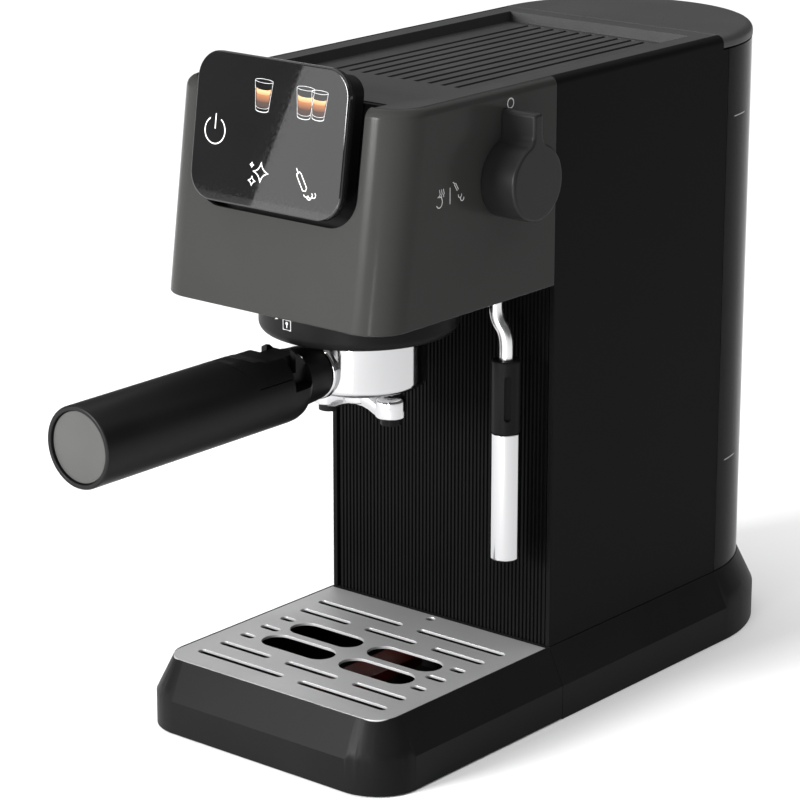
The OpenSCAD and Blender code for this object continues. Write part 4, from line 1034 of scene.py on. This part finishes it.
AT_WAND = Matrix.Translation(LOWER)
grip_profile = [(SLIP_R, wand_grip_low.z), (SLEEVE_R - 0.3, wand_grip_low.z)]
grip_profile += [(SLEEVE_R - 0.05, wand_grip_low.z + 0.3)]
grip_profile += quarter(SLEEVE_R - 0.85, wand_grip_high.z - 0.8, 0.8, 0, 90, 5)
grip_profile += [(SLIP_R, wand_grip_high.z)]
wand_grip = lathe("wand_grip_body", grip_profile, AT_WAND, 72)
FACING = math.radians(44)
facing = Matrix.Translation((LOWER.x, LOWER.y, (wand_grip_low.z + wand_grip_high.z) / 2)) @ Matrix.Rotation(
    FACING, 4, "Z") @ Matrix.Rotation(math.radians(90), 4, "X")
SLOT_HALF, SLOT_W, SLOT_DEPTH = 10.5, 3.0, 1.7
slot_round = SLOT_W / 2 - 0.01
slot_outline = box_outline(SLOT_W / 2, -SLOT_HALF, SLOT_HALF, slot_round, slot_round)
for half_turn in (0, math.pi):
    spin = Matrix.Translation(LOWER) @ Matrix.Rotation(half_turn, 4, "Z") @ Matrix.Translation(-LOWER)
    cut(wand_grip, block("tool", slot_outline, SLEEVE_R - SLOT_DEPTH, SLEEVE_R + 3, place=spin @ facing))
soften(wand_grip, 0.25, 2)
finish_piece(wand_grip, "wand", look("black_plastic"), ["wand_grip"])

inner_r, collar_z = SLEEVE_R - 1.2, sleeve_high.z - 3
sleeve_profile = [(inner_r, sleeve_low.z + 0.4)]
sleeve_profile += quarter(SLEEVE_R - 0.6, sleeve_low.z + 0.6, 0.6, -120, 0, 6)
sleeve_profile += quarter(SLEEVE_R - 0.4, sleeve_high.z - 0.4, 0.4, 0, 90, 4)
sleeve_profile += [(SLIP_R, sleeve_high.z), (SLIP_R, collar_z), (inner_r, collar_z)]
sleeve = lathe("wand_sleeve_tube", sleeve_profile, AT_WAND, 96)
soften(sleeve, 0)
finish_piece(sleeve, "wand", look("chrome"), ["wand_sleeve"])


# ---------- level marks on the tank ----------

TANK_R = box_mm("water_tank")[1].x


def on_tank(p):
    """Wraps a point, given as (backwards along the wall, up, outwards), round the tank's right side."""
    r = TANK_R + 0.01 + p.z
    a = p.x / TANK_R
    return Vector((r * math.cos(a), REAR_Y + r * math.sin(a), p.y))


LEVELS_Z, MARK_START, MARK_STEP = (255.2, 87.5), 7.0, 3.0
level_marks = [
    ribbon([Vector((MARK_START + MARK_STEP * k, z)) for k in range(5)], 0.35) for z in LEVELS_Z]
finish_piece(
    print_piece("tank_level_marks", level_marks, on_tank), "tank", look("print_grey"))


# ---------- camera, light and floor ----------

CAMERA_AT = Vector((0.88067, -1.12756, 0.55879))
AZIMUTH, ELEVATION = math.radians(39.744), math.radians(16.771)
camera = bpy.data.objects.new("camera", bpy.data.cameras.new("camera"))
camera.data.sensor_width = 36.0
camera.data.lens = 144.41
camera.data.clip_start = 0.05
camera.location = CAMERA_AT
back = Vector((
    math.sin(AZIMUTH) * math.cos(ELEVATION), -math.cos(AZIMUTH) * math.cos(ELEVATION), math.sin(ELEVATION)))
camera.rotation_mode = "QUATERNION"
camera.rotation_quaternion = (-back).to_track_quat("-Z", "Y")
bpy.context.scene.collection.objects.link(camera)
bpy.context.scene.camera = camera


def softbox(name, at, target, size, power):
    """A rectangular lamp, its size and place in metres and its power in watts."""
    lamp = bpy.data.lights.new(name, "AREA")
    lamp.shape = "RECTANGLE"
    lamp.size, lamp.size_y = size
    lamp.energy = power
    obj = bpy.data.objects.new(name, lamp)
    obj.location = at
    obj.rotation_mode = "QUATERNION"
    obj.rotation_quaternion = (Vector(target) - Vector(at)).to_track_quat("-Z", "Y")
    bpy.context.scene.collection.objects.link(obj)
    return obj


CENTRE = (cad_low + cad_high) / 2
softbox("key", (-0.7, -2.3, 0.75), CENTRE, (0.8, 0.8), 125)
strip = softbox("corner_strip", (0.206, -0.554, 0.12), (0.055, -0.15, 0.25), (0.03, 0.22), 0.7)
strip.visible_camera = False


def seen_in_panel(u, v, distance):
    """The place, in metres, that the camera sees mirrored in a point of the control panel."""
    point = on_glass(Vector((u, v, 0))) * MM
    normal = (ON_FRONT.to_3x3() @ Vector((0, 0, 1))).normalized()
    sight = (point - CAMERA_AT).normalized()
    return point + (sight - normal * 2 * sight.dot(normal)) * distance


# a tall card whose straight edge crosses the panel as a slanting line
CARD_FAR, CARD_W, CARD_H, CARD_RADIANCE = 1.5, 0.6, 1.2, 2.5
EDGE_HIGH_UV, EDGE_LOW_UV = (16.3, 63.5), (0.4, 19.4)
edge_high, edge_low = (seen_in_panel(*uv, CARD_FAR) for uv in (EDGE_HIGH_UV, EDGE_LOW_UV))
edge_way = (edge_high - edge_low).normalized()
facing_panel = (on_glass(Vector((0, 30, 0))) * MM - edge_low).normalized()
aside = edge_way.cross(facing_panel).normalized()
if (seen_in_panel(40, 30, CARD_FAR) - edge_low).dot(aside) < 0:
    aside = -aside
facing_panel = (facing_panel - edge_way * facing_panel.dot(edge_way)).normalized()
card_power = CARD_RADIANCE * math.pi * CARD_W * CARD_H
card = softbox("card", edge_low, CENTRE, (CARD_W, CARD_H), card_power)
card_x = edge_way.cross(-facing_panel)
card.rotation_quaternion = Matrix((card_x, edge_way, -facing_panel)).transposed().to_quaternion()
card.location = (edge_high + edge_low) / 2 + aside * CARD_W / 2

sky = bpy.data.objects.new("sky", bpy.data.lights.new("sky", "SUN"))
sky.data.energy = 2.9
sky.data.angle = math.radians(110)
bpy.context.scene.collection.objects.link(sky)

world = bpy.data.worlds.new("studio")
world.use_nodes = True
world.node_tree.nodes["Background"].inputs["Color"].default_value = (1, 1, 1, 1)
world.node_tree.nodes["Background"].inputs["Strength"].default_value = 0.15
bpy.context.scene.world = world

floor_look = Nodes("floor")
floor_tone = floor_look.noise(3, detail=2.0)
floor_look.link(
    floor_look.mix(floor_look.between(floor_tone, 0, 1), (0.86, 0.86, 0.86), (0.88, 0.88, 0.88)),
    floor_look.shader.inputs["Base Color"])
floor_look.set(Roughness=0.9, Specular_IOR_Level=0.1)
FLOOR_HALF = 12
floor_corners = [(x * FLOOR_HALF, y * FLOOR_HALF, 0) for x, y in ((-1, -1), (1, -1), (1, 1), (-1, 1))]
floor = mesh_object("floor", floor_corners, [(0, 1, 2, 3)])
floor.data.materials.append(floor_look.material)
floor.location.z = cad_low.z - 0.0002

bpy.context.scene.view_settings.view_transform = "Standard"

bpy.context.view_layer.update()
